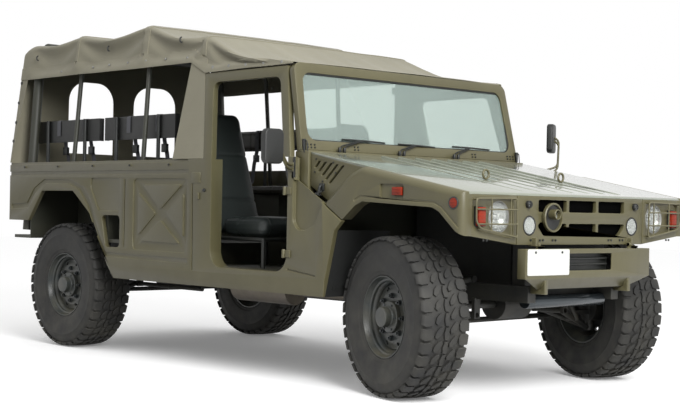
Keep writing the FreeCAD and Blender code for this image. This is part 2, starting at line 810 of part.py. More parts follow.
def make_rear_panel(m, s):
    """Rear wall of the tub, open where the rear door hangs."""
    front = s.rear_body + s.panel
    inner = s.half_width - s.panel
    wall = m.block((s.rear_body, -inner, s.rail_top + s.seat_clearance),
                   (front, inner, s.belt_height))
    side = s.rear_door_half_width + s.rear_door_gap
    gap = m.block((s.rear_body - s.overrun, -side, s.rear_door_bottom - s.rear_door_gap),
                  (front + s.overrun, side, s.belt_height + s.overrun))
    corners = []
    for _, sign in SIDES:
        low, high = span(sign, s.nose_half_width + s.panel, s.half_width)
        corners.append(m.block((s.rear_body - s.overrun, low, s.rail_top - s.overrun),
                               (front + s.overrun, high, s.quarter_bottom)))
    m.node("rear_panel", m.cut(wall, gap, *corners))


def make_rear_door(m, s):
    """Rear door of the tub, hung on two pins at its left edge."""
    front = s.rear_body + s.panel
    half = s.rear_door_half_width
    slab = m.block((s.rear_body, -half, s.rear_door_bottom), (front, half, s.belt_height))
    pieces = [slab]
    radius = s.hinge_pin_radius
    x = s.rear_body - radius - s.seat_clearance
    y = half + s.rear_door_gap / 2
    for share in (1, 4):
        level = s.rear_door_bottom + (s.belt_height - s.rear_door_bottom) * share / 5
        pieces.append(m.rod((x, y, level), (x, y, level + s.hinge_pin_length), radius))
        pieces.append(m.block((x - radius / 2, half - s.hinge_leaf_width, level),
                              (s.rear_body, half, level + s.hinge_pin_length)))
    m.node("rear_door", m.join(*pieces))


def screen_lean(s):
    """Return how far the windscreen leans back, in radians."""
    rise = s.screen_top_height - s.cowl_height
    return math.atan2(s.screen_base - s.screen_top, rise)


def make_cowl(m, s):
    """Cowl box under the windscreen, with the wedge that the frame stands on."""
    inner = s.half_width - s.frame_depth - s.sheet
    top = s.cowl_height
    box = m.block((s.cowl_rear, -inner, top - s.cowl_thickness), (s.cowl_front, inner, top))
    lean = screen_lean(s)
    foot = s.screen_base - s.screen_frame_depth * math.cos(lean)
    wedge = m.plate("XZ", [(foot, top), (s.screen_base, top),
                           (s.screen_base, top + s.screen_frame_depth * math.sin(lean))],
                    -s.screen_half_width, s.screen_half_width)
    posts = []
    for _, sign in SIDES:
        low, high = span(sign, s.half_width - s.panel - s.scoop_depth, inner)
        posts.append(m.block((s.door_front + s.jamb_width, low, s.sill_top),
                             (s.cowl_front, high, top - s.cowl_thickness)))
    m.node("cowl", m.join(box, wedge, *posts))


def screen_points(s, border):
    """Windscreen outline in its own plane, smaller than the frame by a border."""
    rise = s.screen_top_height - s.cowl_height
    run = s.screen_base - s.screen_top
    slant = Dim(math.hypot(rise, run), "sqrt((%s)^2 + (%s)^2)" % (formula_of(rise),
                                                                 formula_of(run)))
    half = s.screen_half_width - border
    top = half - s.screen_lean_in
    return [(-half, border), (half, border), (top, slant - border), (-top, slant - border)]


def make_screen(m, s):
    """Windscreen frame with one wide pane behind rounded corners."""
    outer = screen_points(s, 0 * s.screen_border)
    inner = screen_points(s, s.screen_border)
    pane = screen_points(s, s.screen_border - s.glass_overlap)
    depth = s.screen_frame_depth
    zero = 0 * depth
    frame = m.plate("YZ", outer, -depth, zero, [(s.door_top_round, (2, 3))])
    hole = m.plate("YZ", inner, -depth - s.overrun, s.overrun, [(s.screen_corner, (0, 1, 2, 3))])
    middle = -depth / 2
    seat = m.plate("YZ", pane, middle, middle + s.glass_thickness,
                   [(s.screen_corner, (0, 1, 2, 3))])
    glass = m.plate("YZ", pane, middle, middle + s.glass_thickness,
                    [(s.screen_corner, (0, 1, 2, 3))])
    frame = m.cut(m.cut(frame, hole), seat)
    lean = screen_lean(s)
    base = (s.screen_base, 0, s.cowl_height + s.seat_clearance + depth * math.sin(lean))
    for name, item in (("windscreen_frame", frame), ("windscreen_glass", glass)):
        holder = m.group(item)
        holder.Placement = Placement(Vector(*base),
                                     Rotation(Vector(0, 1, 0), -math.degrees(lean)))
        m.locate(holder, base)
        m.node(name, holder)


def make_canopy(m, s):
    """Canvas cover over bows: sloping roof, leaning sides, open windows all round."""
    def cover(margin):
        """Return the outer form, smaller than the canvas by a margin."""
        base = s.half_width - margin
        shoulder = s.canopy_shoulder_half_width - margin
        top = s.canopy_top - margin
        bottom = s.belt_height + s.seat_clearance - (s.overrun if float(margin) else 0)
        low = top - s.canopy_chamfer
        high = shoulder - s.canopy_chamfer
        section = m.plate("YZ", [(-base, bottom), (base, bottom), (shoulder, low), (high, top),
                                 (-high, top), (-shoulder, low)], s.rear_body - s.overrun,
                          s.front_axle)
        rear = s.rear_body + margin
        hoop = rear + s.canopy_rear_lean
        front = s.screen_top - s.screen_frame_depth / 2
        post = s.frame_rear + (s.overrun if float(margin) else 0)
        sag = top - s.canopy_sag
        side = m.plate("XZ", [(rear, bottom), (post, bottom),
                              (post, s.frame_top - margin + s.seat_clearance),
                              (front, s.screen_top_height - margin),
                              (front, s.screen_top_height - margin + s.canvas * 2),
                              (s.canopy_knee, s.canopy_knee_height - margin),
                              (s.canopy_bend, top), (s.canopy_bend_rear, top),
                              ((s.canopy_bend + s.canopy_middle) / 2, sag),
                              (s.canopy_middle + s.pole_radius, top),
                              (s.canopy_middle - s.pole_radius, top),
                              ((s.canopy_middle + hoop) / 2, sag), (s.canopy_hoop, top),
                              (hoop, top)],
                       -s.half_width - s.overrun, s.half_width + s.overrun)
        form = m.common(section, side)
        m.doc.recompute()
        return form

    zero = 0 * s.canvas
    shell = m.cut(cover(zero), cover(s.canvas))
    windows = []
    for _, sign in SIDES:
        low, high = span(sign, s.canopy_shoulder_half_width - s.canvas - s.overrun * 3,
                         s.half_width + s.overrun)
        windows.append(m.plate("XZ", [
            (s.side_window_rear - s.side_window_rear_inset / 2, s.side_window_bottom),
            (s.side_window_end, s.side_window_bottom),
            (s.side_window_end, s.side_window_top),
            (s.side_window_rear, s.side_window_top)], low, high))
        centre = side_y(sign, s.rear_window_place)
        half = s.rear_window_half_width
        windows.append(m.plate("YZ", [
            (centre - half, s.rear_window_bottom), (centre + half, s.rear_window_bottom),
            (centre + half, s.rear_window_top), (centre - half, s.rear_window_top)],
            s.rear_body - s.overrun, s.rear_body + s.canopy_rear_lean + s.overrun * 2,
            [(s.rear_window_round, (2, 3))]))
    m.node("canopy", m.cut(shell, *windows))


def make_bow(m, s, setback, radius, base_place, knee_place, foot):
    """One bow: a leg on each side that leans in to a knee, and a cross tube."""
    x = s.front_axle - setback
    top = s.canopy_top - s.canvas - radius - s.seat_clearance
    top_place = s.pole_top_place
    pieces = [m.rod((x, -top_place, top), (x, top_place, top), radius)]
    for _, sign in SIDES:
        base = (x, side_y(sign, base_place), foot)
        knee = (x, side_y(sign, knee_place), s.pole_knee_height)
        crown = (x, side_y(sign, top_place), top)
        pieces += [m.rod(base, knee, radius), m.ball(knee, radius),
                   m.rod(knee, crown, radius), m.ball(crown, radius)]
    return m.join(*pieces)


def make_bows(m, s):
    """Two slim bows that carry the canvas, and the fat roll hoop at the rear."""
    box_top = s.wheel_box_height + s.seat_clearance + s.pole_radius
    floor_top = s.load_floor_height + s.floor_thickness + s.seat_clearance + s.pole_radius
    hoop_foot = s.load_floor_height + s.floor_thickness + s.seat_clearance + s.hoop_radius
    m.node("canopy_bows",
           make_bow(m, s, s.pole_one_setback, s.pole_radius, s.pole_base_place,
                    s.pole_knee_place, floor_top),
           make_bow(m, s, s.pole_two_setback, s.pole_radius, s.pole_base_place,
                    s.pole_knee_place, box_top),
           make_bow(m, s, s.hoop_setback, s.hoop_radius, s.hoop_base_place,
                    s.hoop_knee_place, hoop_foot))


def make_hood(m, s):
    """Hood skin that falls towards the nose, with the fenders below its edges."""
    rear, front = s.hood_rear, s.hood_front
    half = s.hood_side_half_width
    skin = s.hood_skin
    outline = [(rear, s.hood_rear_height - skin), (front, s.hood_front_height - skin),
               (front, s.hood_front_height), (rear, s.hood_rear_height)]
    m.node("hood_panel", m.plate("XZ", outline, -half, half))


def make_fender(m, s, name, sign):
    """Fender of the clamshell: side wall, raised arch flare and the rounded corner."""
    rear, front = s.hood_rear, s.hood_front
    side = s.hood_side_half_width
    arch = s.arch(s.front_axle, FRONT_ARCH_SHARES)
    flare = s.arch(s.front_axle, FRONT_FLARE_SHARES)
    gap = s.hood_gap
    cut_low = (flare[0][0], flare[0][1] + gap)
    cut_high = (flare[1][0], flare[1][1] + gap)
    scoop_top = s.arch(s.front_axle, SCOOP_SHARES)[0]
    share = (rear - cut_high[0]) / (scoop_top[0] - cut_high[0])
    heel = (rear, cut_high[1] + (scoop_top[1] + gap - cut_high[1]) * share)
    low, high = span(sign, side - s.fender_thickness, side)
    wall = m.plate("XZ", [cut_low] + arch[3:] + [(front, s.corner_bottom),
                                                 (front, s.hood_level(front) - s.hood_skin),
                                                 (rear, s.hood_rear_height - s.hood_skin),
                                                 heel, cut_high],
                   low, high)
    low, high = span(sign, side, s.fender_half_width)
    crest = s.hood_level(flare[3][0])
    outer = m.plate("XZ", [cut_low] + arch[3:] + [(front, s.corner_bottom),
                                                  (front, s.hood_front_height),
                                                  (flare[3][0], crest), flare[2], cut_high],
                    low, high)
    m.node(name, m.join(wall, outer))


def make_grille(m, s):
    """Nose of the clamshell: flat front with the grille openings and the lamp bays."""
    front = s.hood_front
    rear = front - s.nose_thickness
    top = s.hood_front_height - s.hood_skin
    half = s.hood_side_half_width - s.fender_thickness - s.seat_clearance
    outline = [(-s.nose_half_width, s.nose_bottom), (s.nose_half_width, s.nose_bottom),
               (half, s.corner_bottom), (half, top), (-half, top), (-half, s.corner_bottom)]
    face = m.plate("YZ", outline, rear, front)
    holes = []
    middle = (s.grille_top + s.grille_bottom) / 2
    column = (s.grille_half_width * 2 - s.grille_post * 2) / 3
    for index in (-1, 0, 1):
        centre = (column + s.grille_post) * index
        for low, high in ((s.grille_bottom, middle - s.grille_bar / 2),
                          (middle + s.grille_bar / 2, s.grille_top)):
            holes.append(m.block((rear - s.overrun, centre - column / 2, low),
                                 (front + s.overrun, centre + column / 2, high)))
    for _, sign in SIDES:
        y = side_y(sign, s.headlamp_place)
        holes.append(m.rod((rear - s.overrun, y, s.headlamp_height),
                           (front + s.overrun, y, s.headlamp_height),
                           s.headlamp_radius + s.seat_clearance))
    m.node("front_grille", m.join(m.cut(face, *holes), *make_hood_ears(m, s)))


def make_hood_ears(m, s):
    """Ears below the nose, each with the pin that turns in a lug on the bumper."""
    pieces = []
    x, z = s.hinge_x, s.nose_bottom
    near = s.hood_lug_place + s.hood_lug_width / 2 + s.seat_clearance
    for _, sign in SIDES:
        low, high = span(sign, near, near + s.hood_lug_width)
        pieces.append(m.block((s.hood_front - s.nose_thickness, low, z - s.hood_pin_radius),
                              (x + s.hood_pin_radius, high, z + s.hood_ear_height)))
        low, high = span(sign, near - s.hood_lug_width, near)
        pieces.append(m.rod((x, low, z), (x, high, z), s.hood_pin_radius))
    return pieces


def make_hood_lugs(m, s, top):
    """Lugs on the bumper, each bored for a pin of the clamshell's hinge."""
    lugs, bores = [], []
    x, z = s.hinge_x, s.nose_bottom
    for _, sign in SIDES:
        low, high = span(sign, s.hood_lug_place - s.hood_lug_width / 2,
                         s.hood_lug_place + s.hood_lug_width / 2)
        lugs.append(m.rod((x, low, z), (x, high, z), s.hood_lug_radius))
        lugs.append(m.block((x - s.hood_pin_radius, low, top),
                            (x + s.hood_pin_radius, high, z)))
        bores.append(m.rod((x, low - s.overrun, z), (x, high + s.overrun, z),
                           s.hood_pin_radius + s.hood_pin_play))
    return lugs, bores


def make_lamps(m, s):
    """Headlamps, fog lamps, markers, the blackout lamp and the amber lamps."""
    front = s.hood_front
    back = front - s.nose_thickness
    heads, smalls, ambers, tails = [], [], [], []
    for _, sign in SIDES:
        y = side_y(sign, s.headlamp_place)
        heads.append(m.rod((back - s.headlamp_depth, y, s.headlamp_height),
                           (front - s.hood_skin, y, s.headlamp_height), s.headlamp_radius))
        y = side_y(sign, s.fog_place)
        smalls.append(m.rod((front + s.seat_clearance, y, s.fog_height),
                            (front + s.guard_standoff, y, s.fog_height), s.fog_radius))
        y = side_y(sign, s.marker_place)
        smalls.append(m.rod((front + s.seat_clearance, y, s.marker_height),
                            (front + s.hood_skin * 2, y, s.marker_height), s.marker_radius))
        low, high = span(sign, s.indicator_place - s.indicator_width / 2,
                         s.indicator_place + s.indicator_width / 2)
        ambers.append(m.block((front + s.seat_clearance, low,
                               s.headlamp_height - s.indicator_height / 2),
                              (front + s.hood_skin * 2, high,
                               s.headlamp_height + s.indicator_height / 2)))
        x = s.front_axle + s.side_lamp_setback
        low, high = span(sign, s.fender_half_width + s.seat_clearance,
                         s.fender_half_width + s.hood_skin / 2)
        ambers.append(m.block((x, low, s.side_lamp_level - s.side_lamp_height / 2),
                              (x + s.side_lamp_length, high,
                               s.side_lamp_level + s.side_lamp_height / 2)))
        x = s.front_axle + s.reflector_setback
        ambers.append(m.rod((x, low, s.reflector_level), (x, high, s.reflector_level),
                            s.reflector_radius))
        low, high = span(sign, s.half_width - s.panel - s.tail_lamp_width * 1.5,
                         s.half_width - s.panel - s.tail_lamp_width / 2)
        tails.append(m.block((s.rear_body - s.tail_lamp_depth, low,
                              s.quarter_bottom + s.tail_lamp_width),
                             (s.rear_body - s.seat_clearance, high,
                              s.quarter_bottom + s.tail_lamp_width + s.tail_lamp_height)))
    smalls.append(m.rod((front + s.seat_clearance, -s.blackout_place, s.blackout_height),
                        (front + s.guard_standoff, -s.blackout_place, s.blackout_height),
                        s.blackout_radius))
    m.node("headlamps", *heads)
    m.node("front_lamps", *smalls)
    m.node("amber_lamps", *ambers)
    m.node("tail_lamps", *tails)


def make_hood_fittings(m, s):
    """Lifting rings, lamp guards and the rubber latches."""
    pieces = []
    for _, sign in SIDES:
        x = s.front_axle + s.ring_setback
        y = side_y(sign, s.ring_place)
        level = s.hood_level(x) + s.ring_radius + s.ring_rod_radius + s.seat_clearance
        pieces.append(m.ring((x, y, level), (1, 0, 0), s.ring_radius, s.ring_rod_radius))
    m.node("hood_fittings", *pieces)


def make_bumper(m, s):
    """Front bumper channel with its slots, towing lugs and the tube below."""
    face = s.front_end
    low, top = s.bumper_bottom, s.bumper_bottom + s.bumper_height
    half = s.bumper_half_width
    channel = m.block((face - s.bumper_depth, -half, low), (face, half, top))
    inside = m.block((face - s.bumper_depth - s.overrun, -half + s.bumper_wall,
                      low + s.bumper_wall),
                     (face - s.bumper_wall, half - s.bumper_wall, top - s.bumper_wall))
    lugs = []
    for _, sign in SIDES:
        centre = side_y(sign, s.tow_lug_place)
        lugs.append(m.block((face - s.tow_lug_length, centre - s.tow_lug_thickness / 2,
                             low - s.tow_lug_height),
                            (face - s.bumper_wall, centre + s.tow_lug_thickness / 2,
                             low + s.bumper_wall)))
    hood_lugs, bores = make_hood_lugs(m, s, top - s.bumper_wall)
    shell = m.join(m.cut(channel, inside), *lugs, *hood_lugs)
    for _, sign in SIDES:
        centre = side_y(sign, s.tow_lug_place)
        x = face - s.tow_lug_length / 2
        z = low - s.tow_lug_height / 2
        bores.append(m.rod((x, centre - s.tow_lug_thickness, z),
                           (x, centre + s.tow_lug_thickness, z), s.tow_bore_radius))
    x = s.front_end - s.skid_tube_setback
    half_tube = s.rail_place - s.rail_width / 2 - s.seat_clearance
    tube = m.rod((x, -half_tube, s.skid_tube_height), (x, half_tube, s.skid_tube_height),
                 s.skid_tube_radius)
    m.node("front_bumper", m.cut(shell, *bores), tube)


def make_power(m, s):
    """Engine block and radiator at their real places, as plain masses."""
    front = s.front_axle + s.tyre_radius * 0.5
    base = s.rail_top - s.rail_wall + s.seat_clearance
    engine = m.block((front - s.engine_length, -s.engine_width / 2, base),
                     (front, s.engine_width / 2, base + s.engine_height))
    nose = s.hood_front - s.nose_thickness
    radiator = m.block((nose - s.radiator_depth * 2, -s.radiator_width / 2,
                        s.rail_top + s.seat_clearance),
                       (nose - s.radiator_depth, s.radiator_width / 2,
                        s.rail_top + s.radiator_height))
    m.node("engine", engine, radiator)


def make_driveline(m, s):
    """Gearbox, differentials, propeller shafts and half shafts, joined in one line."""
    level = s.shaft_height
    box_front = s.front_axle - s.gearbox_setback
    box_rear = box_front - s.gearbox_length
    half = s.gearbox_width / 2
    pieces = [m.block((box_rear, -half, s.gearbox_bottom),
                      (box_front, half, s.gearbox_bottom + s.gearbox_height))]
    shaft_end = s.kingpin_place - s.portal_ball_radius - s.seat_clearance
    for axle, near in ((s.front_axle, box_front), (s.rear_axle, box_rear)):
        pieces.append(m.rod((axle, -s.differential_length / 2, level),
                            (axle, s.differential_length / 2, level), s.differential_radius))
        pieces.append(m.rod((axle, -shaft_end, level), (axle, shaft_end, level),
                            s.drive_shaft_radius))
        pieces.append(m.rod((near, 0 * level, level), (axle, 0 * level, level),
                            s.propeller_shaft_radius))
    m.node("driveline", m.join(*pieces))


def make_exhaust(m, s):
    """Silencer under the right side of the cab, with its pipe."""
    rear = s.front_axle - s.silencer_setback - s.silencer_length
    y, z = -s.silencer_place, s.silencer_height
    body = m.rod((rear, y, z), (rear + s.silencer_length, y, z), s.silencer_radius)
    pipe = m.rod((rear - s.silencer_radius, y, z), (rear + s.exhaust_length, y, z),
                 s.exhaust_radius)
    hangers = []
    half = s.hanger_width / 2
    for share in (0.15, 0.85):
        x = rear + s.silencer_length * share
        hangers.append(m.block((x - half, y - half, z),
                               (x + half, y + half, s.cab_floor_height - s.seat_clearance)))
    m.node("exhaust", m.join(body, pipe, *hangers))


def make_tank(m, s):
    """Fuel tanks hung below the load floor, seen through the side openings."""
    tanks = []
    rear = s.rear_axle + s.recess_rear_setback + s.recess_slant / 2
    for _, sign in SIDES:
        low, high = span(sign, s.half_width - s.panel * 2 - s.tank_width,
                         s.half_width - s.panel * 2)
        top = s.load_floor_height - s.seat_clearance
        tanks.append(m.block((rear, low, top - s.tank_height), (rear + s.tank_length, high, top)))
    m.node("fuel_tanks", *tanks)


def make_suspension(m, s):
    """Double wishbones with a torsion bar and a damper at each corner."""
    corners = []
    for axle, back in ((s.front_axle, -1), (s.rear_axle, 1)):
        for _, sign in SIDES:
            corners += make_corner(m, s, axle, back, sign)
    m.node("suspension", *corners)


def make_corner(m, s, axle, back, sign):
    """One corner's lower arm with its torsion bar and damper, and its upper arm."""
    y_eye = side_y(sign, s.kingpin_place)
    y_pivot = side_y(sign, s.arm_pivot_inset)
    reach = s.kingpin_half_height + s.seat_clearance
    upper_pivot = s.rail_top + s.arm_tube_radius + s.seat_clearance
    root = side_y(sign, s.kingpin_place - s.arm_eye_radius * 0.8)
    arms = []
    for side, pivot in ((-1, s.arm_pivot_height), (1, upper_pivot)):
        near = s.tyre_radius + side * reach
        far = near + side * s.arm_eye_height
        low, high = (near, far) if side > 0 else (far, near)
        middle = (low + high) / 2
        pieces = [m.rod((axle, y_eye, low), (axle, y_eye, high), s.arm_eye_radius)]
        for end in (-1, 1):
            foot = (axle + end * (s.arm_half_spread - s.arm_tube_radius), y_pivot, pivot)
            pieces.append(m.rod((axle, root, middle), foot, s.arm_tube_radius * 0.8))
        pieces.append(m.rod((axle - s.arm_half_spread, y_pivot, pivot),
                            (axle + s.arm_half_spread, y_pivot, pivot), s.arm_tube_radius))
        arms.append((pieces, middle, pivot))
    lower, middle, pivot = arms[0]
    share = (s.kingpin_place - s.damper_foot_place) / (s.kingpin_place - s.arm_pivot_inset)
    foot_z = middle + (pivot - middle) * share
    foot_y = side_y(sign, s.damper_foot_place)
    x = axle + s.damper_offset
    top_y = side_y(sign, s.rail_place + s.rail_width / 2 + s.damper_radius + s.seat_clearance)
    lower.append(m.rod((axle - s.damper_offset, foot_y, foot_z), (x, foot_y, foot_z),
                       s.arm_tube_radius * 0.8))
    lower.append(m.rod((x, foot_y, foot_z), (x, top_y, s.rail_top - s.damper_radius),
                       s.damper_radius))
    start = axle + back * s.arm_half_spread
    lower.append(m.rod((start, y_pivot, pivot),
                       (start + back * s.torsion_bar_length, y_pivot, pivot),
                       s.torsion_bar_radius))
    return [m.join(*lower), m.join(*arms[1][0])]


def hang(m, items, name, base, turn):
    """Name a sub-part that was made about the origin, and put it in its turned place."""
    holder = m.group(*items)
    holder.Placement = Placement(Vector(*base), Rotation(Vector(0, 0, 1), turn))
    m.locate(holder, base)
    m.node(name, holder)


def wheel_place(s, axle, sign, turn):
    """Return a wheel's centre once its knuckle is turned about the kingpin, in degrees."""
    angle = math.radians(turn)
    offset = sign * s.kingpin_inset
    return (axle - offset * math.sin(angle),
            side_y(sign, s.kingpin_place) + offset * math.cos(angle), s.tyre_radius)


def make_tyre(m, s):
    """Tyre, revolved about the wheel's axis."""
    width = s.tyre_width / 2
    outer, bead = s.tyre_radius, s.tyre_bead_radius
    wall = s.tyre_shoulder
    return m.turned([(-width * 0.8, bead), (-width, bead + wall * 2), (-width, outer - wall * 2),
                     (-width + wall, outer), (width - wall, outer), (width, outer - wall * 2),
                     (width, bead + wall * 2), (width * 0.8, bead)])


def make_rim(m, s):
    """Steel rim: barrel with its well, disc, hub and protruding cap."""
    thick, half = s.rim_wall, s.rim_half_width
    seat = s.tyre_bead_radius - s.seat_clearance
    well = s.rim_well_depth
    barrel = m.turned([(-half, seat), (half, seat), (half, seat - thick), (half * 0.5, seat - well),
                       (-half * 0.5, seat - well), (-half, seat - thick)])
    face = half - s.rim_disc_inset
    back = face - s.rim_disc_thickness
    hub = face + s.hub_length
    disc = m.turned([(back, 0 * half), (hub + s.hub_cap_length, 0 * half),
                     (hub + s.hub_cap_length, s.hub_cap_radius), (hub, s.hub_cap_radius),
                     (hub, s.hub_radius), (face, s.hub_radius),
                     (face, seat - well / 2), (back, seat - well / 2)])
    return m.join(barrel, disc)


def make_knuckle(m, s, sign):
    """Portal hub on its kingpin, with the stub behind the rim and the steering arm."""
    pin = s.kingpin_radius
    disc = s.kingpin_inset + s.rim_half_width - s.rim_disc_inset - s.rim_disc_thickness
    outer = disc - s.running_clearance
    zero = 0 * pin
    half = s.kingpin_half_height
    pieces = [m.rod((zero, zero, -half), (zero, zero, half), pin),
              m.rod((zero, -s.portal_inboard, zero), (zero, outer, zero), s.portal_radius),
              m.rod((zero, zero, zero), (zero, disc - s.seat_clearance, zero), s.stub_radius),
              m.ball((zero, zero, s.portal_rise), s.portal_ball_radius)]
    low = -s.steering_arm_drop
    high = low + s.steering_arm_thickness
    width = s.steering_arm_width
    inner = -s.steering_arm_inboard
    pieces.append(m.block((-width / 2, inner, low), (width / 2, zero, high)))
    reach = s.steering_arm_length
    start, stop = (-reach, zero) if sign > 0 else (zero, reach)
    pieces.append(m.block((start, inner, low), (stop, inner + width, high)))
    pieces.append(m.rod((-sign * reach, inner + width / 2, low),
                        (-sign * reach, inner + width / 2, high), width / 2))
    return m.join(*pieces)


def make_wheel(m, s, suffix, axle, sign, turn):
    """Tyre, rim and knuckle of one corner, turned about the kingpin."""
    yaw = turn + (0 if sign > 0 else 180)
    centre = wheel_place(s, axle, sign, turn)
    hang(m, [make_tyre(m, s)], "tyre_" + suffix, centre, yaw)
    hang(m, [make_rim(m, s)], "rim_" + suffix, centre, yaw)
    kingpin = (axle, side_y(sign, s.kingpin_place), s.tyre_radius)
    hang(m, [make_knuckle(m, s, sign)], "knuckle_" + suffix, kingpin, yaw)


def make_tie_rod(m, s, end, axle, turn):
    """Tie rod from one steering arm to the other, with its eyes below the arms."""
    angle = math.radians(turn)
    back = s.steering_arm_length
    inboard = s.steering_arm_inboard - s.steering_arm_width / 2
    top = s.tyre_radius - s.steering_arm_drop - s.seat_clearance
    low = top - s.tie_rod_eye_height
    middle = (top + low) / 2
    ends = []
    for _, sign in SIDES:
        inward = -sign * inboard
        ends.append((axle - back * math.cos(angle) - inward * math.sin(angle),
                     side_y(sign, s.kingpin_place) - back * math.sin(angle)
                     + inward * math.cos(angle)))
    pieces = [m.rod((x, y, low), (x, y, top), s.tie_rod_eye_radius) for x, y in ends]
    pieces.append(m.rod((ends[0][0], ends[0][1], middle), (ends[1][0], ends[1][1], middle),
                        s.tie_rod_radius))
    m.node("tie_rod_" + end, m.join(*pieces))


def make_seats(m, s):
    """Front seats and the inward-facing benches, as cushions and their backs."""
    fronts, benches = [], []
    low = s.seat_cushion_top - s.seat_cushion_thickness
    thick = s.seat_back_thickness
    for _, sign in SIDES:
        centre = side_y(sign, s.seat_place)
        rear = s.seat_rear
        half = s.seat_width / 2
        fronts.append(m.block((rear, centre - half, low),
                              (rear + s.seat_cushion_length, centre + half,
                               s.seat_cushion_top)))
        foot = rear - s.seat_back_gap
        fall = s.seat_back_height * math.tan(math.radians(s.seat_back_lean))
        fronts.append(m.plate("XZ", [
            (foot - thick, low), (foot, low), (foot - fall, low + s.seat_back_height),
            (foot - fall - thick * 0.7, low + s.seat_back_height)],
            centre - half, centre + half))
        for index in (0, 1):
            end = bench_end(s, index)
            low_y, high_y = span(sign, s.bench_back_place - s.bench_back_thickness,
                                 s.bench_back_place)
            benches.append(m.block((end - s.bench_back_length, low_y, s.bench_back_bottom),
                                   (end, high_y, s.bench_back_bottom + s.bench_back_height)))
            low_y, high_y = span(sign, s.bench_back_place - s.bench_cushion_width,
                                 s.bench_back_place)
            base = s.wheel_box_height + s.seat_clearance
            benches.append(m.block((end - s.bench_back_length, low_y, base),
                                   (end, high_y, base + s.bench_cushion_thickness)))
    m.node("front_seats", *fronts)
    m.node("bench_seats", *benches)


def bench_end(s, index):
    """Return the front end of a bench, counted from the front."""
    return s.front_axle - s.bench_front_setback - (s.bench_back_length + s.bench_gap) * index


def make_seat_frames(m, s):
    """Legs and rails below the front seats, and the uprights behind the bench backs."""
    frames = []
    radius = s.seat_leg_radius
    floor = s.cab_floor_height + s.floor_thickness + s.seat_clearance
    top = s.seat_cushion_top - s.seat_cushion_thickness - s.seat_clearance - radius
    for _, sign in SIDES:
        centre = side_y(sign, s.seat_place)
        rear = s.seat_rear - s.seat_back_gap
        front = s.seat_rear + s.seat_cushion_length - radius
        ys = (centre - s.seat_width / 2 + radius, centre + s.seat_width / 2 - radius)
        pieces = []
        for y in ys:
            pieces.append(m.rod((rear, y, top), (front, y, top), radius))
            pieces.append(m.ball((front, y, top), radius))
            for x in (rear, front):
                pieces.append(m.rod((x, y, floor), (x, y, top), radius))
        for x in (rear, front):
            pieces.append(m.rod((x, ys[0], top), (x, ys[1], top), radius))
        frames.append(m.join(*pieces))
        y = side_y(sign, s.bench_back_place + radius + s.seat_clearance)
        for index in (0, 1):
            for share in (0.2, 0.8):
                x = bench_end(s, index) - s.bench_back_length * share
                top_z = s.bench_back_bottom + s.bench_back_height
                on_box = x < s.rear_axle + s.tyre_radius * 1.2
                foot = s.wheel_box_height if on_box else s.load_floor_height + s.floor_thickness
                frames.append(m.rod((x, y, foot + s.seat_clearance), (x, y, top_z), radius))
    m.node("seat_frames", *frames)


def make_dashboard(m, s):
    """Dashboard under the cowl and the column that carries the steering wheel."""
    inner = s.half_width - s.panel - s.scoop_depth - s.dash_inset
    front = s.cowl_rear - s.seat_clearance
    top = s.cowl_height - s.cowl_thickness
    board = m.plate("XZ", [(front, top), (front - s.dash_depth, top - s.dash_inset),
                           (front - s.dash_depth * 0.7, top - s.dash_height),
                           (front, top - s.dash_height)], -inner, inner,
                    [(s.dash_inset, (1, 2))])
    centre, along = steering_axis(s)
    start = [value - step * s.steering_hub_radius for value, step in zip(centre, along)]
    end = [value - step * s.steering_column_length for value, step in zip(centre, along)]
    column = m.rod(start, end, s.steering_column_radius)
    m.node("dashboard", m.join(board, column))


def steering_axis(s):
    """Return the steering wheel's centre, and its axis towards the driver."""
    angle = math.radians(s.steering_column_tilt)
    centre = (s.front_axle - s.steering_wheel_setback, s.steering_wheel_place,
              s.steering_wheel_height)
    return centre, (-math.cos(angle), 0.0, math.sin(angle))


def make_steering_wheel(m, s):
    """Steering wheel: rim, three spokes and the hub."""
    zero = 0 * s.steering_wheel_rim
    radius = s.steering_wheel_radius
    pieces = [m.ring((zero, zero, zero), (0, 0, 1), radius, s.steering_wheel_rim),
              m.rod((zero, zero, s.seat_clearance - s.steering_hub_radius),
                    (zero, zero, s.steering_wheel_rim), s.steering_hub_radius)]
    for index in range(3):
        angle = math.radians(index * 120 + 90)
        pieces.append(m.rod((zero, zero, zero),
                            (radius * math.cos(angle), radius * math.sin(angle), zero),
                            s.steering_spoke_radius))
    centre, along = steering_axis(s)
    holder = m.group(m.join(*pieces))
    holder.Placement = Placement(Vector(*centre), Rotation(Vector(0, 0, 1), Vector(*along)))
    m.locate(holder, centre)
    m.node("steering_wheel", holder)


def make_mirrors(m, s):
    """Mirror heads on tube arms, the left one standing higher."""
    mirrors = []
    x = s.front_axle - s.mirror_setback
    foot_x = s.door_front + s.jamb_width
    for name, sign in SIDES:
        level = s.mirror_left_height if sign > 0 else s.mirror_right_height
        low, high = span(sign, s.mirror_place - s.mirror_width / 2,
                         s.mirror_place + s.mirror_width / 2)
        bottom = level - s.mirror_height / 2
        head = m.block((x - s.mirror_depth / 2, low, bottom),
                       (x + s.mirror_depth / 2, high, bottom + s.mirror_height))
        foot_low, foot_high = span(sign, s.half_width + s.seat_clearance,
                                   s.half_width + s.mirror_foot_thickness)
        top = s.belt_height - s.panel
        foot = m.block((foot_x - s.mirror_foot, foot_low, top - s.mirror_foot),
                       (foot_x, foot_high, top))
        bend = (x, side_y(sign, s.mirror_place), bottom)
        root = (foot_x - s.mirror_foot / 2, side_y(sign, s.half_width + s.mirror_foot_thickness / 2),
                top - s.mirror_foot / 2)
        mirrors.append(m.join(head, foot, m.rod(root, bend, s.mirror_tube_radius)))
    m.node("mirrors", *mirrors)


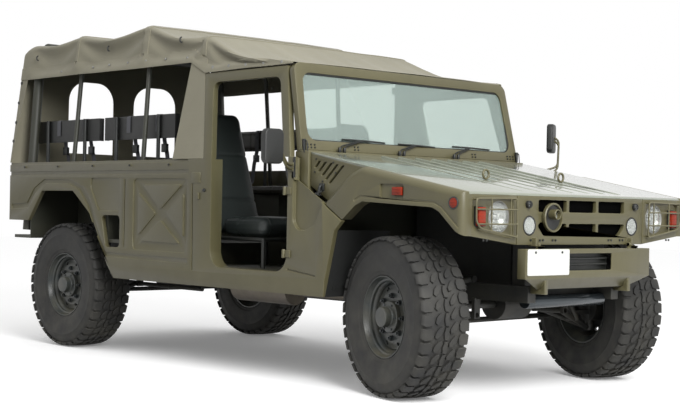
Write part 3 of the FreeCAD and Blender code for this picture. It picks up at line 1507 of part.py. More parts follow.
def make_wipers(m, s):
    """Three wipers parked along the foot of the windscreen."""
    wipers = []
    x = s.front_axle - s.wiper_setback
    base = s.cowl_height + s.seat_clearance
    top = base + s.wiper_pivot_height
    for share in (-0.76, -0.24, 0.45):
        y = s.screen_half_width * share
        pivot = m.rod((x, y, base), (x, y, top), s.wiper_pivot_radius)
        half = s.wiper_arm_width / 2
        arm = m.block((x - half, y, top - half), (x + half, y + s.wiper_length * 0.6, top))
        blade = m.block((x - half, y + s.wiper_length * 0.1, top - s.wiper_blade_height),
                        (x, y + s.wiper_length, top))
        wipers.append(m.join(pivot, arm, blade))
    m.node("wipers", *wipers)


def make_liners(m, s):
    """Splash liners that close the front wheel arches towards the cab."""
    liners = []
    arch = s.arch(s.front_axle, FRONT_ARCH_SHARES[:3])
    thick = s.sheet
    wall = s.firewall + s.firewall_thickness
    outline = ([(x, z) for x, z in arch]
               + [(arch[2][0] - thick * 2, arch[2][1]), (arch[1][0] - thick * 2, arch[1][1]),
                  (arch[0][0] - thick * 2, arch[0][1])])
    for _, sign in SIDES:
        low, high = span(sign, s.wheel_box_inboard, s.half_width - s.panel - s.seat_clearance)
        liners.append(m.plate("XZ", outline, low, high))
    m.node("wheel_liners", *liners)


def check(m):
    """Stop if any object failed or any sub-part is not a sound shape."""
    for item in m.doc.Objects:
        if "Invalid" in item.State or "Error" in item.State:
            raise RuntimeError("%s failed: %s" % (item.Name, item.State))
    for name, item in m.nodes.items():
        shape = item.Shape
        if shape.isNull() or not shape.isValid() or not shape.Solids:
            raise RuntimeError("%s is not a sound shape" % name)


def export(m):
    """Write each sub-part to its own file."""
    os.makedirs("parts", exist_ok=True)
    for name, item in m.nodes.items():
        item.Shape.exportStep("parts/%s.step" % name)


def main():
    """Build the whole vehicle, check it and write its sub-parts."""
    doc = FreeCAD.newDocument("Carrier")
    s = Sizes(doc)
    m = Model(doc)
    make_frame(m, s)
    make_floor(m, s)
    for name, sign in SIDES:
        make_body_side(m, s, "body_side_" + name, sign)
        make_fender(m, s, "fender_" + name, sign)
    make_rear_panel(m, s)
    make_rear_door(m, s)
    make_cowl(m, s)
    make_screen(m, s)
    make_canopy(m, s)
    make_bows(m, s)
    make_hood(m, s)
    make_grille(m, s)
    make_lamps(m, s)
    make_hood_fittings(m, s)
    make_bumper(m, s)
    make_power(m, s)
    make_driveline(m, s)
    make_exhaust(m, s)
    make_tank(m, s)
    make_suspension(m, s)
    make_seats(m, s)
    make_seat_frames(m, s)
    make_dashboard(m, s)
    make_steering_wheel(m, s)
    make_mirrors(m, s)
    make_wipers(m, s)
    make_liners(m, s)
    for end, axle, turn in (("front", s.front_axle, -float(s.steer_rest_angle)),
                            ("rear", s.rear_axle, 0.0)):
        for name, sign in SIDES:
            make_wheel(m, s, "%s_%s" % (end, name), axle, sign, turn)
        make_tie_rod(m, s, end, axle, turn)
    doc.recompute()
    check(m)
    export(m)


main()
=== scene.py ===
import json
import logging
import math
from dataclasses import dataclass, field
from enum import Enum
from typing import Callable, Iterable, Sequence

import bpy
import numpy as np
from mathutils import Matrix, Vector, noise


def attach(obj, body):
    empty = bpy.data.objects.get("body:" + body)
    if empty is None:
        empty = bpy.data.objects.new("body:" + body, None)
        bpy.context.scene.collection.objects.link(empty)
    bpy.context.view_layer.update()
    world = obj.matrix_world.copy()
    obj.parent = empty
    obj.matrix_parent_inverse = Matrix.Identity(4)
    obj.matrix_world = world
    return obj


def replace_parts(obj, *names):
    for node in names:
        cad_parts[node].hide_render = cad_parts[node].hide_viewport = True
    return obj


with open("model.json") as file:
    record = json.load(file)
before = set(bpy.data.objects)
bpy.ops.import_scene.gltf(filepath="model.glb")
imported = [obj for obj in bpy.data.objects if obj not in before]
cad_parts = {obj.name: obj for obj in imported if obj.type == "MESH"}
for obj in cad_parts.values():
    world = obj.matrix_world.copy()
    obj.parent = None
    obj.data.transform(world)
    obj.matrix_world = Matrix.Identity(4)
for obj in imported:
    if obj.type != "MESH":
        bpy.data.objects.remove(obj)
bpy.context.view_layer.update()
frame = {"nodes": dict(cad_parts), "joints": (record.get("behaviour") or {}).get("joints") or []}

LOG = logging.getLogger("carrier")
Point = Sequence[float]

# Measures of the solids that several pieces share, in metres.
BODY_HALF = 1.075
BODY_REAR = -2.329
BELT = 1.3905
NOSE = 2.393
TYRE_RADIUS = 0.465
FRONT_AXLE = 1.8425
REAR_AXLE = -1.5525


class Body(Enum):
    """The bodies that pieces away from the wheels ride on."""

    ROOT = "root"
    HOOD = "hood"
    REAR_DOOR = "rear_door"


class Side(Enum):
    """A side of the vehicle, with the sign of its Y."""

    RIGHT = -1
    LEFT = 1

    @property
    def word(self) -> str:
        """The side's name in lower case."""
        return self.name.lower()


class Plane(Enum):
    """The plane of an outline, by its two axes and the axis that it is pulled along."""

    XY = (0, 1, 2)
    XZ = (0, 2, 1)
    YZ = (1, 2, 0)

    def place(self, point: Point, level: float) -> Vector:
        """A drawn point as a place in the row frame.

        Args:
            point: the two drawn coordinates.
            level: the coordinate along the third axis.

        Returns:
            The place in metres.
        """
        spot = Vector((0.0, 0.0, 0.0))
        spot[self.value[0]] = point[0]
        spot[self.value[1]] = point[1]
        spot[self.value[2]] = level
        return spot


class Shop:
    """Bench tools: each starts from a primitive and shapes it with operators."""

    @staticmethod
    def clear() -> None:
        """Leaves every object deselected, outside edit mode."""
        if bpy.context.object and bpy.context.object.mode != "OBJECT":
            bpy.ops.object.mode_set(mode="OBJECT")
        bpy.ops.object.select_all(action="DESELECT")

    @staticmethod
    def pick(piece: bpy.types.Object) -> None:
        """Selects one object alone and makes it the active one."""
        Shop.clear()
        piece.select_set(True)
        bpy.context.view_layer.objects.active = piece

    @staticmethod
    def edit(piece: bpy.types.Object, mode: str = "FACE", action: str = "DESELECT") -> None:
        """Opens a piece in edit mode with nothing selected, or all of it with SELECT."""
        Shop.pick(piece)
        bpy.ops.object.mode_set(mode="EDIT")
        bpy.ops.mesh.select_mode(type=mode)
        bpy.ops.mesh.select_all(action=action)

    @staticmethod
    def done() -> None:
        """Leaves edit mode."""
        bpy.ops.object.mode_set(mode="OBJECT")

    @staticmethod
    def named(name: str) -> bpy.types.Object:
        """Names the active object and its mesh, and puts its place into the mesh."""
        piece = bpy.context.object
        piece.name = name
        piece.data.name = name
        piece.data.transform(piece.matrix_basis)
        piece.matrix_basis = Matrix.Identity(4)
        return piece

    @staticmethod
    def outward(piece: bpy.types.Object) -> bpy.types.Object:
        """Merges doubles and turns every face outwards."""
        Shop.edit(piece, action="SELECT")
        bpy.ops.mesh.remove_doubles(threshold=1e-5)
        bpy.ops.mesh.normals_make_consistent(inside=False)
        Shop.done()
        return piece

    @staticmethod
    def modified(piece: bpy.types.Object, kind: str, **settings: object) -> bpy.types.Object:
        """Adds a modifier, sets it and applies it.

        Args:
            piece: the object to finish.
            kind: the modifier's type.
            settings: the modifier's own settings.

        Returns:
            The same object.
        """
        Shop.pick(piece)
        modifier = piece.modifiers.new(kind.title(), kind)
        for key, value in settings.items():
            setattr(modifier, key, value)
        bpy.ops.object.modifier_apply(modifier=modifier.name)
        return piece

    @staticmethod
    def softened(
        piece: bpy.types.Object, width: float, segments: int = 2, angle: float = 38.0
    ) -> bpy.types.Object:
        """Rounds a piece's sharp edges and smooths its shading.

        Args:
            piece: the object to finish.
            width: the edge's radius in metres.
            segments: how many faces go round an edge.
            angle: edges sharper than this many degrees are rounded.

        Returns:
            The same object.
        """
        Shop.modified(
            piece,
            "BEVEL",
            width=width,
            segments=segments,
            limit_method="ANGLE",
            angle_limit=math.radians(angle),
            use_clamp_overlap=False,
            harden_normals=False,
        )
        return Shop.smooth(piece)

    @staticmethod
    def smooth(piece: bpy.types.Object, angle: float = 35.0) -> bpy.types.Object:
        """Smooths the shading over edges flatter than an angle in degrees."""
        Shop.pick(piece)
        bpy.ops.object.shade_smooth_by_angle(angle=math.radians(angle))
        return piece

    @staticmethod
    def box(name: str, low: Point, high: Point, edge: float = 0.002) -> bpy.types.Object:
        """A block between two corners with its edges bevelled.

        Args:
            name: the piece's name.
            low: lowest corner in metres.
            high: highest corner in metres.
            edge: bevel width, or 0 for none.

        Returns:
            The new object.
        """
        Shop.clear()
        low, high = Vector(low), Vector(high)
        bpy.ops.mesh.primitive_cube_add(size=1, location=(low + high) / 2, scale=high - low)
        piece = Shop.named(name)
        if edge:
            Shop.softened(piece, edge)
        return piece

    @staticmethod
    def plate(
        name: str,
        plane: Plane,
        outline: Sequence[Point],
        low: float,
        high: float,
        edge: float = 0.0,
        segments: int = 2,
    ) -> bpy.types.Object:
        """A flat outline pulled to a thickness.

        Args:
            name: the piece's name.
            plane: the plane of the outline.
            outline: the outline's corners in order.
            low: where the pull starts along the third axis.
            high: where it ends.
            edge: bevel width, or 0 for none.
            segments: faces round a bevel.

        Returns:
            The new object.
        """
        Shop.clear()
        bpy.ops.mesh.primitive_circle_add(vertices=len(outline), radius=1, fill_type="NGON")
        piece = Shop.named(name)
        for vertex, point in zip(piece.data.vertices, outline):
            vertex.co = plane.place(point, low)
        Shop.edit(piece, action="SELECT")
        pull = plane.place((0, 0), high - low)
        bpy.ops.mesh.extrude_region_move(TRANSFORM_OT_translate={"value": pull})
        bpy.ops.mesh.select_all(action="SELECT")
        bpy.ops.mesh.normals_make_consistent(inside=False)
        Shop.done()
        return Shop.softened(piece, edge, segments) if edge else piece

    @staticmethod
    def rod(
        name: str, start: Point, end: Point, radius: float, end_radius: float | None = None,
        sides: int = 24, edge: float = 0.0,
    ) -> bpy.types.Object:
        """A round bar or cone between two points.

        Args:
            name: the piece's name.
            start: centre of the first end.
            end: centre of the last end.
            radius: radius at the start.
            end_radius: radius at the end, or the same.
            sides: faces round the bar.
            edge: bevel width of the end rims.

        Returns:
            The new object.
        """
        Shop.clear()
        start, end = Vector(start), Vector(end)
        run = end - start
        bpy.ops.mesh.primitive_cone_add(
            vertices=sides,
            radius1=radius,
            radius2=radius if end_radius is None else end_radius,
            depth=run.length,
            location=(start + end) / 2,
            rotation=run.to_track_quat("Z", "Y").to_euler(),
        )
        piece = Shop.named(name)
        if edge:
            return Shop.softened(piece, edge)
        return Shop.smooth(piece, 50)

    @staticmethod
    def ball(name: str, centre: Point, radii: Point, segments: int = 24) -> bpy.types.Object:
        """A ball, flattened or stretched along the axes."""
        Shop.clear()
        bpy.ops.mesh.primitive_uv_sphere_add(
            segments=segments, ring_count=segments // 2, radius=1, location=centre, scale=radii
        )
        return Shop.smooth(Shop.named(name), 60)

    @staticmethod
    def torus(name: str, centre: Point, axis: Point, radius: float, rod: float,
              major: int = 40, minor: int = 10) -> bpy.types.Object:
        """A ring of round rod about an axis."""
        Shop.clear()
        bpy.ops.mesh.primitive_torus_add(
            location=centre,
            rotation=Vector(axis).to_track_quat("Z", "Y").to_euler(),
            major_radius=radius,
            minor_radius=rod,
            major_segments=major,
            minor_segments=minor,
        )
        return Shop.smooth(Shop.named(name), 60)

    @staticmethod
    def turned(
        name: str, profile: Sequence[Point], centre: Point, axis: Point, steps: int = 64
    ) -> bpy.types.Object:
        """A closed profile spun about an axis.

        Args:
            name: the piece's name.
            profile: (radius, place along the axis) corners in order.
            centre: a point of the axis, where the profile's place is zero.
            axis: direction of the axis.
            steps: faces round the axis.

        Returns:
            The new object.
        """
        Shop.clear()
        bpy.ops.mesh.primitive_circle_add(vertices=len(profile), radius=1, fill_type="NOTHING")
        piece = Shop.named(name)
        for vertex, (radius, place) in zip(piece.data.vertices, profile):
            vertex.co = (radius, 0.0, place)
        Shop.edit(piece, "EDGE", "SELECT")
        bpy.ops.mesh.spin(
            steps=steps, angle=math.tau, center=(0, 0, 0), axis=(0, 0, 1), use_auto_merge=True
        )
        Shop.done()
        piece.data.transform(
            Matrix.Translation(Vector(centre))
            @ Vector(axis).to_track_quat("Z", "Y").to_matrix().to_4x4()
        )
        Shop.outward(piece)
        return Shop.smooth(piece, 32)

    @staticmethod
    def pipe(
        name: str, points: Sequence[Point], radius: float, bend: float = 0.03, sides: int = 4,
        closed: bool = False,
    ) -> bpy.types.Object:
        """A round bar bent along a route with rounded corners.

        Args:
            name: the piece's name.
            points: corners of the route.
            radius: radius of the bar.
            bend: how far from a corner its bend starts.
            sides: quarter-turn resolution of the bar.
            closed: whether the route is a ring.

        Returns:
            The new mesh object.
        """
        Shop.clear()
        route = Shop.rounded([Vector(p) for p in points], bend, closed)
        bpy.ops.curve.primitive_bezier_curve_add()
        cable = bpy.context.object
        cable.matrix_basis = Matrix.Identity(4)
        cable.data.splines.clear()
        spline = cable.data.splines.new("POLY")
        spline.points.add(len(route) - 1)
        for knot, place in zip(spline.points, route):
            knot.co = (*place, 1.0)
        spline.use_cyclic_u = closed
        cable.data.dimensions = "3D"
        cable.data.twist_mode = "MINIMUM"
        cable.data.bevel_depth = radius
        cable.data.bevel_resolution = sides
        cable.data.use_fill_caps = not closed
        bpy.ops.object.convert(target="MESH")
        piece = Shop.named(name)
        return Shop.smooth(Shop.outward(piece), 60)

    @staticmethod
    def rounded(
        points: list[Vector], bend: float, closed: bool = False, steps: int = 6
    ) -> list[Vector]:
        """A route with each corner turned into a short curve.

        Args:
            points: the corners.
            bend: how far from a corner its bend starts.
            closed: whether the last corner joins the first.
            steps: points in a bend.

        Returns:
            The finer route.
        """
        route: list[Vector] = []
        count = len(points)
        for index, corner in enumerate(points):
            if not closed and index in (0, count - 1):
                route.append(corner)
                continue
            before, after = points[index - 1], points[(index + 1) % count]
            near = min(bend, (before - corner).length * 0.45, (after - corner).length * 0.45)
            start = corner + (before - corner).normalized() * near
            end = corner + (after - corner).normalized() * near
            for step in range(steps + 1):
                t = step / steps
                route.append(start.lerp(corner, t).lerp(corner.lerp(end, t), t))
        return route

    @staticmethod
    def eased(outline: Sequence[Point], bend: float) -> list[Point]:
        """A closed outline in a plane with its corners rounded."""
        route = Shop.rounded([Vector((*point, 0.0)) for point in outline], bend, True, 4)
        return [(place.x, place.y) for place in route]

    @staticmethod
    def bevelled(
        piece: bpy.types.Object, test: Callable[[Vector, Vector], bool], width: float,
        segments: int = 6,
    ) -> bpy.types.Object:
        """Rounds the edges whose two ends pass a test.

        Args:
            piece: the object to finish.
            test: says of an edge's two ends whether it is rounded.
            width: the edge's radius in metres.
            segments: how many faces go round an edge.

        Returns:
            The same object.
        """
        Shop.edit(piece, "EDGE")
        Shop.done()
        places = [vertex.co for vertex in piece.data.vertices]
        for edge in piece.data.edges:
            edge.select = test(*(places[index] for index in edge.vertices))
        bpy.ops.object.mode_set(mode="EDIT")
        bpy.ops.mesh.bevel(offset=width, segments=segments, affect="EDGES", clamp_overlap=True)
        Shop.done()
        return piece

    @staticmethod
    def joined(name: str, pieces: Iterable[bpy.types.Object]) -> bpy.types.Object:
        """Joins several meshes into one object."""
        pieces = list(pieces)
        Shop.clear()
        for piece in pieces:
            piece.select_set(True)
        bpy.context.view_layer.objects.active = pieces[0]
        if len(pieces) > 1:
            bpy.ops.object.join()
        return Shop.named(name)

    @staticmethod
    def copied(piece: bpy.types.Object, name: str, matrix: Matrix) -> bpy.types.Object:
        """A copy with its own mesh, moved by a matrix, its faces still outwards."""
        Shop.pick(piece)
        bpy.ops.object.duplicate()
        copy = Shop.named(name)
        copy.data.transform(matrix)
        if matrix.determinant() < 0:
            copy.data.flip_normals()
        return copy

    @staticmethod
    def cut(piece: bpy.types.Object, *tools: bpy.types.Object) -> bpy.types.Object:
        """Cuts a piece with others, which are used up."""
        for tool in tools:
            Shop.modified(piece, "BOOLEAN", object=tool, operation="DIFFERENCE", solver="EXACT")
            bpy.data.objects.remove(tool)
        return piece

    @staticmethod
    def sliced(piece: bpy.types.Object, cuts: Iterable[tuple[int, float]]) -> None:
        """Adds edges where planes pass through a piece.

        Args:
            piece: the object to cut.
            cuts: each plane's axis, by its index, and its level along it.
        """
        Shop.edit(piece, "EDGE")
        for axis, level in cuts:
            place, normal = Vector((0, 0, 0)), Vector((0, 0, 0))
            place[axis], normal[axis] = level, 1.0
            bpy.ops.mesh.select_all(action="SELECT")
            bpy.ops.mesh.bisect(plane_co=place, plane_no=normal)
        Shop.done()

    @staticmethod
    def settled(
        piece: bpy.types.Object, frames: int, gravity: float = 1.0, **settings: object
    ) -> None:
        """Runs a piece as cloth and keeps its last form.

        Args:
            piece: the object to settle.
            frames: how many frames the run takes.
            gravity: the share of gravity that acts on it.
            settings: the cloth's own settings.
        """
        Shop.pick(piece)
        modifier = piece.modifiers.new("Cloth", "CLOTH")
        for key, value in settings.items():
            setattr(modifier.settings, key, value)
        modifier.settings.effector_weights.gravity = gravity
        modifier.collision_settings.use_collision = False
        modifier.point_cache.frame_end = frames
        for step in range(1, frames + 1):
            bpy.context.scene.frame_set(step)
        bpy.ops.object.modifier_apply(modifier=modifier.name)
        bpy.context.scene.frame_set(1)

    @staticmethod
    def pin(
        name: str, side: Side, place: Point, reach: Point, radius: float, sides: int = 24,
        edge: float = 0.0,
    ) -> bpy.types.Object:
        """A round bar along Y on one side of the vehicle.

        Args:
            name: the piece's name.
            side: the side that it is on.
            place: its X and Z.
            reach: how far from the middle it starts and ends.
            radius: the bar's radius.
            sides: faces round the bar.
            edge: bevel width of the end rims.

        Returns:
            The new object.
        """
        (x, z), (near, far) = place, (side.value * distance for distance in reach)
        return Shop.rod(name, (x, near, z), (x, far, z), radius, sides=sides, edge=edge)

    @staticmethod
    def ordered(side: Side, low: Point, high: Point) -> tuple[Point, Point]:
        """Two corners given for the left side, as lowest and highest on either side."""
        if side is Side.LEFT:
            return low, high
        return (low[0], -high[1], low[2]), (high[0], -low[1], high[2])

    @staticmethod
    def from_node(name: str, *nodes: str, dissolve: bool = True) -> bpy.types.Object:
        """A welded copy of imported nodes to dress, which stands for them.

        Args:
            name: the piece's name.
            nodes: the CAD nodes that it copies and replaces.
            dissolve: whether flat areas become single faces; not where they go round a hole.

        Returns:
            The new object.
        """
        copies = []
        for node in nodes:
            Shop.clear()
            copy = bpy.data.objects.new(name, frame["nodes"][node].data.copy())
            bpy.context.scene.collection.objects.link(copy)
            copies.append(copy)
        piece = Shop.joined(name, copies)
        piece.data.materials.clear()
        Shop.edit(piece, action="SELECT")
        bpy.ops.mesh.remove_doubles(threshold=2e-5)
        if dissolve:
            bpy.ops.mesh.dissolve_limited(angle_limit=math.radians(0.6))
        Shop.done()
        if piece.data.has_custom_normals:
            bpy.ops.mesh.customdata_custom_splitnormals_clear()
        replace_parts(piece, *nodes)
        return piece


class Pattern(Enum):
    """How a finish varies over its surface."""

    PAINT = "paint"
    CLOTH = "cloth"
    VINYL = "vinyl"
    RUBBER = "rubber"
    METAL = "metal"
    PLASTIC = "plastic"
    LENS = "lens"
    PLAIN_GLASS = "plain glass"


def linear(colour: str) -> tuple[float, float, float, float]:
    """A written sRGB colour, such as 4f5040, as the shader's linear values."""
    channels = [int(colour[i:i + 2], 16) / 255 for i in (0, 2, 4)]
    return (*(c / 12.92 if c <= 0.04045 else ((c + 0.055) / 1.055) ** 2.4 for c in channels), 1.0)


@dataclass(frozen=True)
class Finish:
    """One surface finish: what it looks like and how its nodes are built."""

    name: str
    colour: str
    slot: str
    pattern: Pattern
    roughness: float = 0.5
    metallic: float = 0.0
    shade: float = 0.08
    dust: float = 0.0
    dust_colour: str = "8a8168"
    coat: float = 0.0
    specular: float = 0.5

    def material(self) -> bpy.types.Material:
        """The finish's material, made the first time that it is asked for.

        The frame's own materials carry the slots' names, so these get another name.
        """
        found = bpy.data.materials.get("dressed_" + self.name)
        return found or Nodes(self).built()


class Nodes:
    """Builds the node tree of a finish."""

    def __init__(self, finish: Finish) -> None:
        """Starts an empty material for a finish."""
        self.finish = finish
        self.material = bpy.data.materials.new("dressed_" + finish.name)
        self.material.use_nodes = True
        self.tree = self.material.node_tree
        self.shader = self.tree.nodes["Principled BSDF"]
        self.place = self.add("ShaderNodeTexCoord").outputs["Object"]

    def add(self, kind: str, **settings: object) -> bpy.types.Node:
        """Adds a node and sets its properties or, where it has such a socket, its inputs."""
        node = self.tree.nodes.new(kind)
        for key, value in settings.items():
            if hasattr(node, key):
                setattr(node, key, value)
            else:
                node.inputs[key.replace("_", " ").title()].default_value = value
        return node

    def link(self, start: bpy.types.NodeSocket, end: bpy.types.NodeSocket) -> None:
        """Joins two sockets."""
        self.tree.links.new(start, end)

    def noise(self, scale: float, detail: float = 4.0, stretch: Point = (1, 1, 1),
              roughness: float = 0.55) -> bpy.types.NodeSocket:
        """Noise on the piece's own coordinates, from 0 to 1."""
        mapping = self.add("ShaderNodeMapping")
        mapping.inputs["Scale"].default_value = stretch
        self.link(self.place, mapping.inputs["Vector"])
        node = self.add("ShaderNodeTexNoise", scale=scale, detail=detail, roughness=roughness)
        self.link(mapping.outputs["Vector"], node.inputs["Vector"])
        return node.outputs["Fac"]

    def ramp(self, source: bpy.types.NodeSocket, low: float, high: float) -> bpy.types.NodeSocket:
        """Spreads a value between two levels to 0 and 1."""
        node = self.add("ShaderNodeMapRange")
        node.inputs["From Min"].default_value = low
        node.inputs["From Max"].default_value = high
        self.link(source, node.inputs["Value"])
        return node.outputs["Result"]

    def mixed(
        self, share: bpy.types.NodeSocket, first: object, second: object
    ) -> bpy.types.NodeSocket:
        """Mixes two colours, each a socket or a linear colour, by a share."""
        node = self.add("ShaderNodeMix", data_type="RGBA")
        self.link(share, node.inputs[0])
        for socket, value in ((node.inputs[6], first), (node.inputs[7], second)):
            if isinstance(value, bpy.types.NodeSocket):
                self.link(value, socket)
            else:
                socket.default_value = value
        return node.outputs[2]

    def bump(self, height: bpy.types.NodeSocket, distance: float, strength: float = 1.0) -> None:
        """Adds a bump on top of those that the shader has."""
        node = self.add("ShaderNodeBump", distance=distance, strength=strength)
        self.link(height, node.inputs["Height"])
        before = self.shader.inputs["Normal"].links
        if before:
            self.link(before[0].from_socket, node.inputs["Normal"])
        self.link(node.outputs["Normal"], self.shader.inputs["Normal"])

    def times(self, first: bpy.types.NodeSocket, second: bpy.types.NodeSocket | float,
              operation: str = "MULTIPLY") -> bpy.types.NodeSocket:
        """The product of two values, or what another named operation makes of them."""
        node = self.add("ShaderNodeMath", operation=operation)
        self.link(first, node.inputs[0])
        if isinstance(second, bpy.types.NodeSocket):
            self.link(second, node.inputs[1])
        else:
            node.inputs[1].default_value = second
        return node.outputs[0]

    def shaded(self, source: bpy.types.NodeSocket) -> bpy.types.NodeSocket:
        """The finish's colour, lighter and darker along a source value."""
        base = linear(self.finish.colour)
        dark = tuple(c * (1 - self.finish.shade) for c in base[:3]) + (1.0,)
        light = tuple(min(1.0, c * (1 + self.finish.shade)) for c in base[:3]) + (1.0,)
        return self.mixed(source, dark, light)

    def dusted(self, colour: bpy.types.NodeSocket) -> bpy.types.NodeSocket:
        """Dust over a colour: thicker low down and on what faces up, in broken patches."""
        parts = self.add("ShaderNodeSeparateXYZ")
        self.link(self.place, parts.inputs[0])
        low = self.ramp(parts.outputs["Z"], 1.0, 0.1)
        normal = self.add("ShaderNodeNewGeometry")
        facing = self.add("ShaderNodeSeparateXYZ")
        self.link(normal.outputs["Normal"], facing.inputs[0])
        up = self.ramp(facing.outputs["Z"], 0.2, 1.0)
        either = self.times(low, self.times(up, 0.35), "ADD")
        patches = self.ramp(self.noise(7.0, 8.0), 0.35, 0.75)
        share = self.times(self.times(either, patches), self.finish.dust)
        return self.mixed(share, colour, linear(self.finish.dust_colour))

    def roughness(self, source: bpy.types.NodeSocket, spread: float) -> None:
        """Varies the roughness round the finish's own value."""
        node = self.add("ShaderNodeMapRange")
        node.inputs["To Min"].default_value = max(0.03, self.finish.roughness - spread)
        node.inputs["To Max"].default_value = min(1.0, self.finish.roughness + spread)
        self.link(source, node.inputs["Value"])
        self.link(node.outputs["Result"], self.shader.inputs["Roughness"])

    def built(self) -> bpy.types.Material:
        """Builds the tree for the finish's pattern.

        Returns:
            The material.
        """
        finish = self.finish
        self.shader.inputs["Metallic"].default_value = finish.metallic
        self.shader.inputs["Coat Weight"].default_value = finish.coat
        self.shader.inputs["Specular IOR Level"].default_value = finish.specular
        self.shader.inputs["Roughness"].default_value = finish.roughness
        getattr(self, finish.pattern.name.lower())()
        return self.material

    def paint(self) -> None:
        """Brushed and sprayed paint: soft clouds, fine orange peel, scuffs with a painted edge
        highlight, and dust.
        """
        clouds = self.noise(2.2, 5.0)
        colour = self.shaded(self.ramp(clouds, 0.3, 0.7))
        grime = self.ramp(self.noise(11.0, 9.0, (1, 1, 0.45)), 0.56, 0.85)
        dark = tuple(c * 0.62 for c in linear(self.finish.colour)[:3]) + (1.0,)
        colour = self.mixed(self.times(grime, 0.35), colour, dark)
        if self.finish.dust:
            colour = self.dusted(colour)
        colour = self.worn(colour)
        self.link(colour, self.shader.inputs["Base Color"])
        self.roughness(self.noise(16.0, 6.0), 0.09)
        self.bump(self.noise(3.0, 2.0), 0.0025, 0.5)
        self.bump(self.noise(420.0, 2.0), 0.00025, 0.6)

    def worn(self, colour: bpy.types.NodeSocket) -> bpy.types.NodeSocket:
        """Paint paler along the edges, more in some places than in others: rubbed wear, and a
        painted highlight on the pressings' edges.
        """
        rounded = self.add("ShaderNodeBevel", samples=4, radius=0.009)
        plain = self.add("ShaderNodeNewGeometry")
        dot = self.add("ShaderNodeVectorMath", operation="DOT_PRODUCT")
        self.link(rounded.outputs["Normal"], dot.inputs[0])
        self.link(plain.outputs["Normal"], dot.inputs[1])
        # Paler where the bevel's normal turns away: rubbed wear, and a painted highlight along the
        # pressings' edges.
        edge = self.ramp(dot.outputs["Value"], 0.990, 0.90)
        patches = self.ramp(self.noise(9.0, 7.0), 0.30, 0.70)
        base = linear(self.finish.colour)
        pale = tuple(min(1.0, c * 1.8 + 0.02) for c in base[:3]) + (1.0,)
        return self.mixed(self.times(edge, self.times(patches, 0.7)), colour, pale)

    def metal(self) -> None:
        """Bare or blued steel with stains."""
        stains = self.noise(9.0, 8.0)
        colour = self.shaded(self.ramp(stains, 0.3, 0.7))
        if self.finish.dust:
            colour = self.dusted(colour)
        self.link(colour, self.shader.inputs["Base Color"])
        self.roughness(self.noise(30.0, 5.0), 0.12)
        self.bump(self.noise(260.0, 3.0), 0.0002, 0.5)

    def plastic(self) -> None:
        """Moulded plastic or rubber trim with a fine grain."""
        self.link(self.shaded(self.noise(6.0, 4.0)), self.shader.inputs["Base Color"])
        self.roughness(self.noise(25.0, 4.0), 0.08)
        self.bump(self.noise(700.0, 2.0), 0.0002, 0.5)

    def rubber(self) -> None:
        """Tyre rubber: grey with dry dust, thicker low down and on what faces up."""
        colour = self.shaded(self.noise(5.0, 7.0))
        colour = self.dusted(colour)
        self.link(colour, self.shader.inputs["Base Color"])
        self.roughness(self.noise(18.0, 5.0), 0.08)
        self.bump(self.noise(90.0, 6.0), 0.0006, 0.5)

    def weave(self, pitch: float) -> bpy.types.NodeSocket:
        """Two crossed sets of threads on the piece's own coordinates."""
        waves = []
        for axis in ("X", "Z", "Y"):
            node = self.add("ShaderNodeTexWave", bands_direction=axis,
                            scale=1 / pitch / 20 * math.pi)
            node.inputs["Distortion"].default_value = 0.6
            node.inputs["Detail"].default_value = 1.0
            self.link(self.place, node.inputs["Vector"])
            waves.append(node.outputs["Fac"])
        return self.times(self.times(waves[0], waves[1], "ADD"), waves[2], "ADD")

    def cloth(self) -> None:
        """Proofed canvas: weave, blotches, faded patches."""
        blotch = self.ramp(self.noise(3.5, 8.0), 0.3, 0.7)
        colour = self.shaded(blotch)
        fade = self.ramp(self.noise(1.1, 3.0), 0.45, 0.8)
        pale = tuple(min(1.0, c * 1.16) for c in linear(self.finish.colour)[:3]) + (1.0,)
        colour = self.mixed(self.times(fade, 0.5), colour, pale)
        stain = self.ramp(self.noise(24.0, 9.0), 0.6, 0.9)
        dark = tuple(c * 0.75 for c in linear(self.finish.colour)[:3]) + (1.0,)
        colour = self.mixed(self.times(stain, 0.4), colour, dark)
        self.link(colour, self.shader.inputs["Base Color"])
        self.shader.inputs["Sheen Weight"].default_value = 0.15
        self.shader.inputs["Sheen Roughness"].default_value = 0.5
        self.bump(self.noise(14.0, 5.0), 0.003, 0.35)
        self.bump(self.weave(0.0022), 0.0003, 0.5)

    def vinyl(self) -> None:
        """Leathercloth: pebbled grain, slight gloss."""
        self.link(self.shaded(self.noise(5.0, 5.0)), self.shader.inputs["Base Color"])
        self.roughness(self.noise(12.0, 5.0), 0.08)
        cells = self.add("ShaderNodeTexVoronoi", scale=520.0)
        self.link(self.place, cells.inputs["Vector"])
        self.bump(cells.outputs["Distance"], 0.0004, 0.5)
        self.bump(self.noise(22.0, 4.0), 0.002, 0.3)

    def lens(self) -> None:
        """A moulded coloured or clear lens with prism ribs."""
        self.link(self.shaded(self.noise(20.0, 2.0)), self.shader.inputs["Base Color"])
        clear = self.finish.name == LAMP_GLASS.name
        self.shader.inputs["Transmission Weight"].default_value = 0.92 if clear else 0.0
        self.shader.inputs["IOR"].default_value = 1.49
        ribs = self.add("ShaderNodeTexWave", bands_direction="Z", scale=18.0)
        self.link(self.place, ribs.inputs["Vector"])
        self.bump(ribs.outputs["Fac"], 0.0015, 0.6)

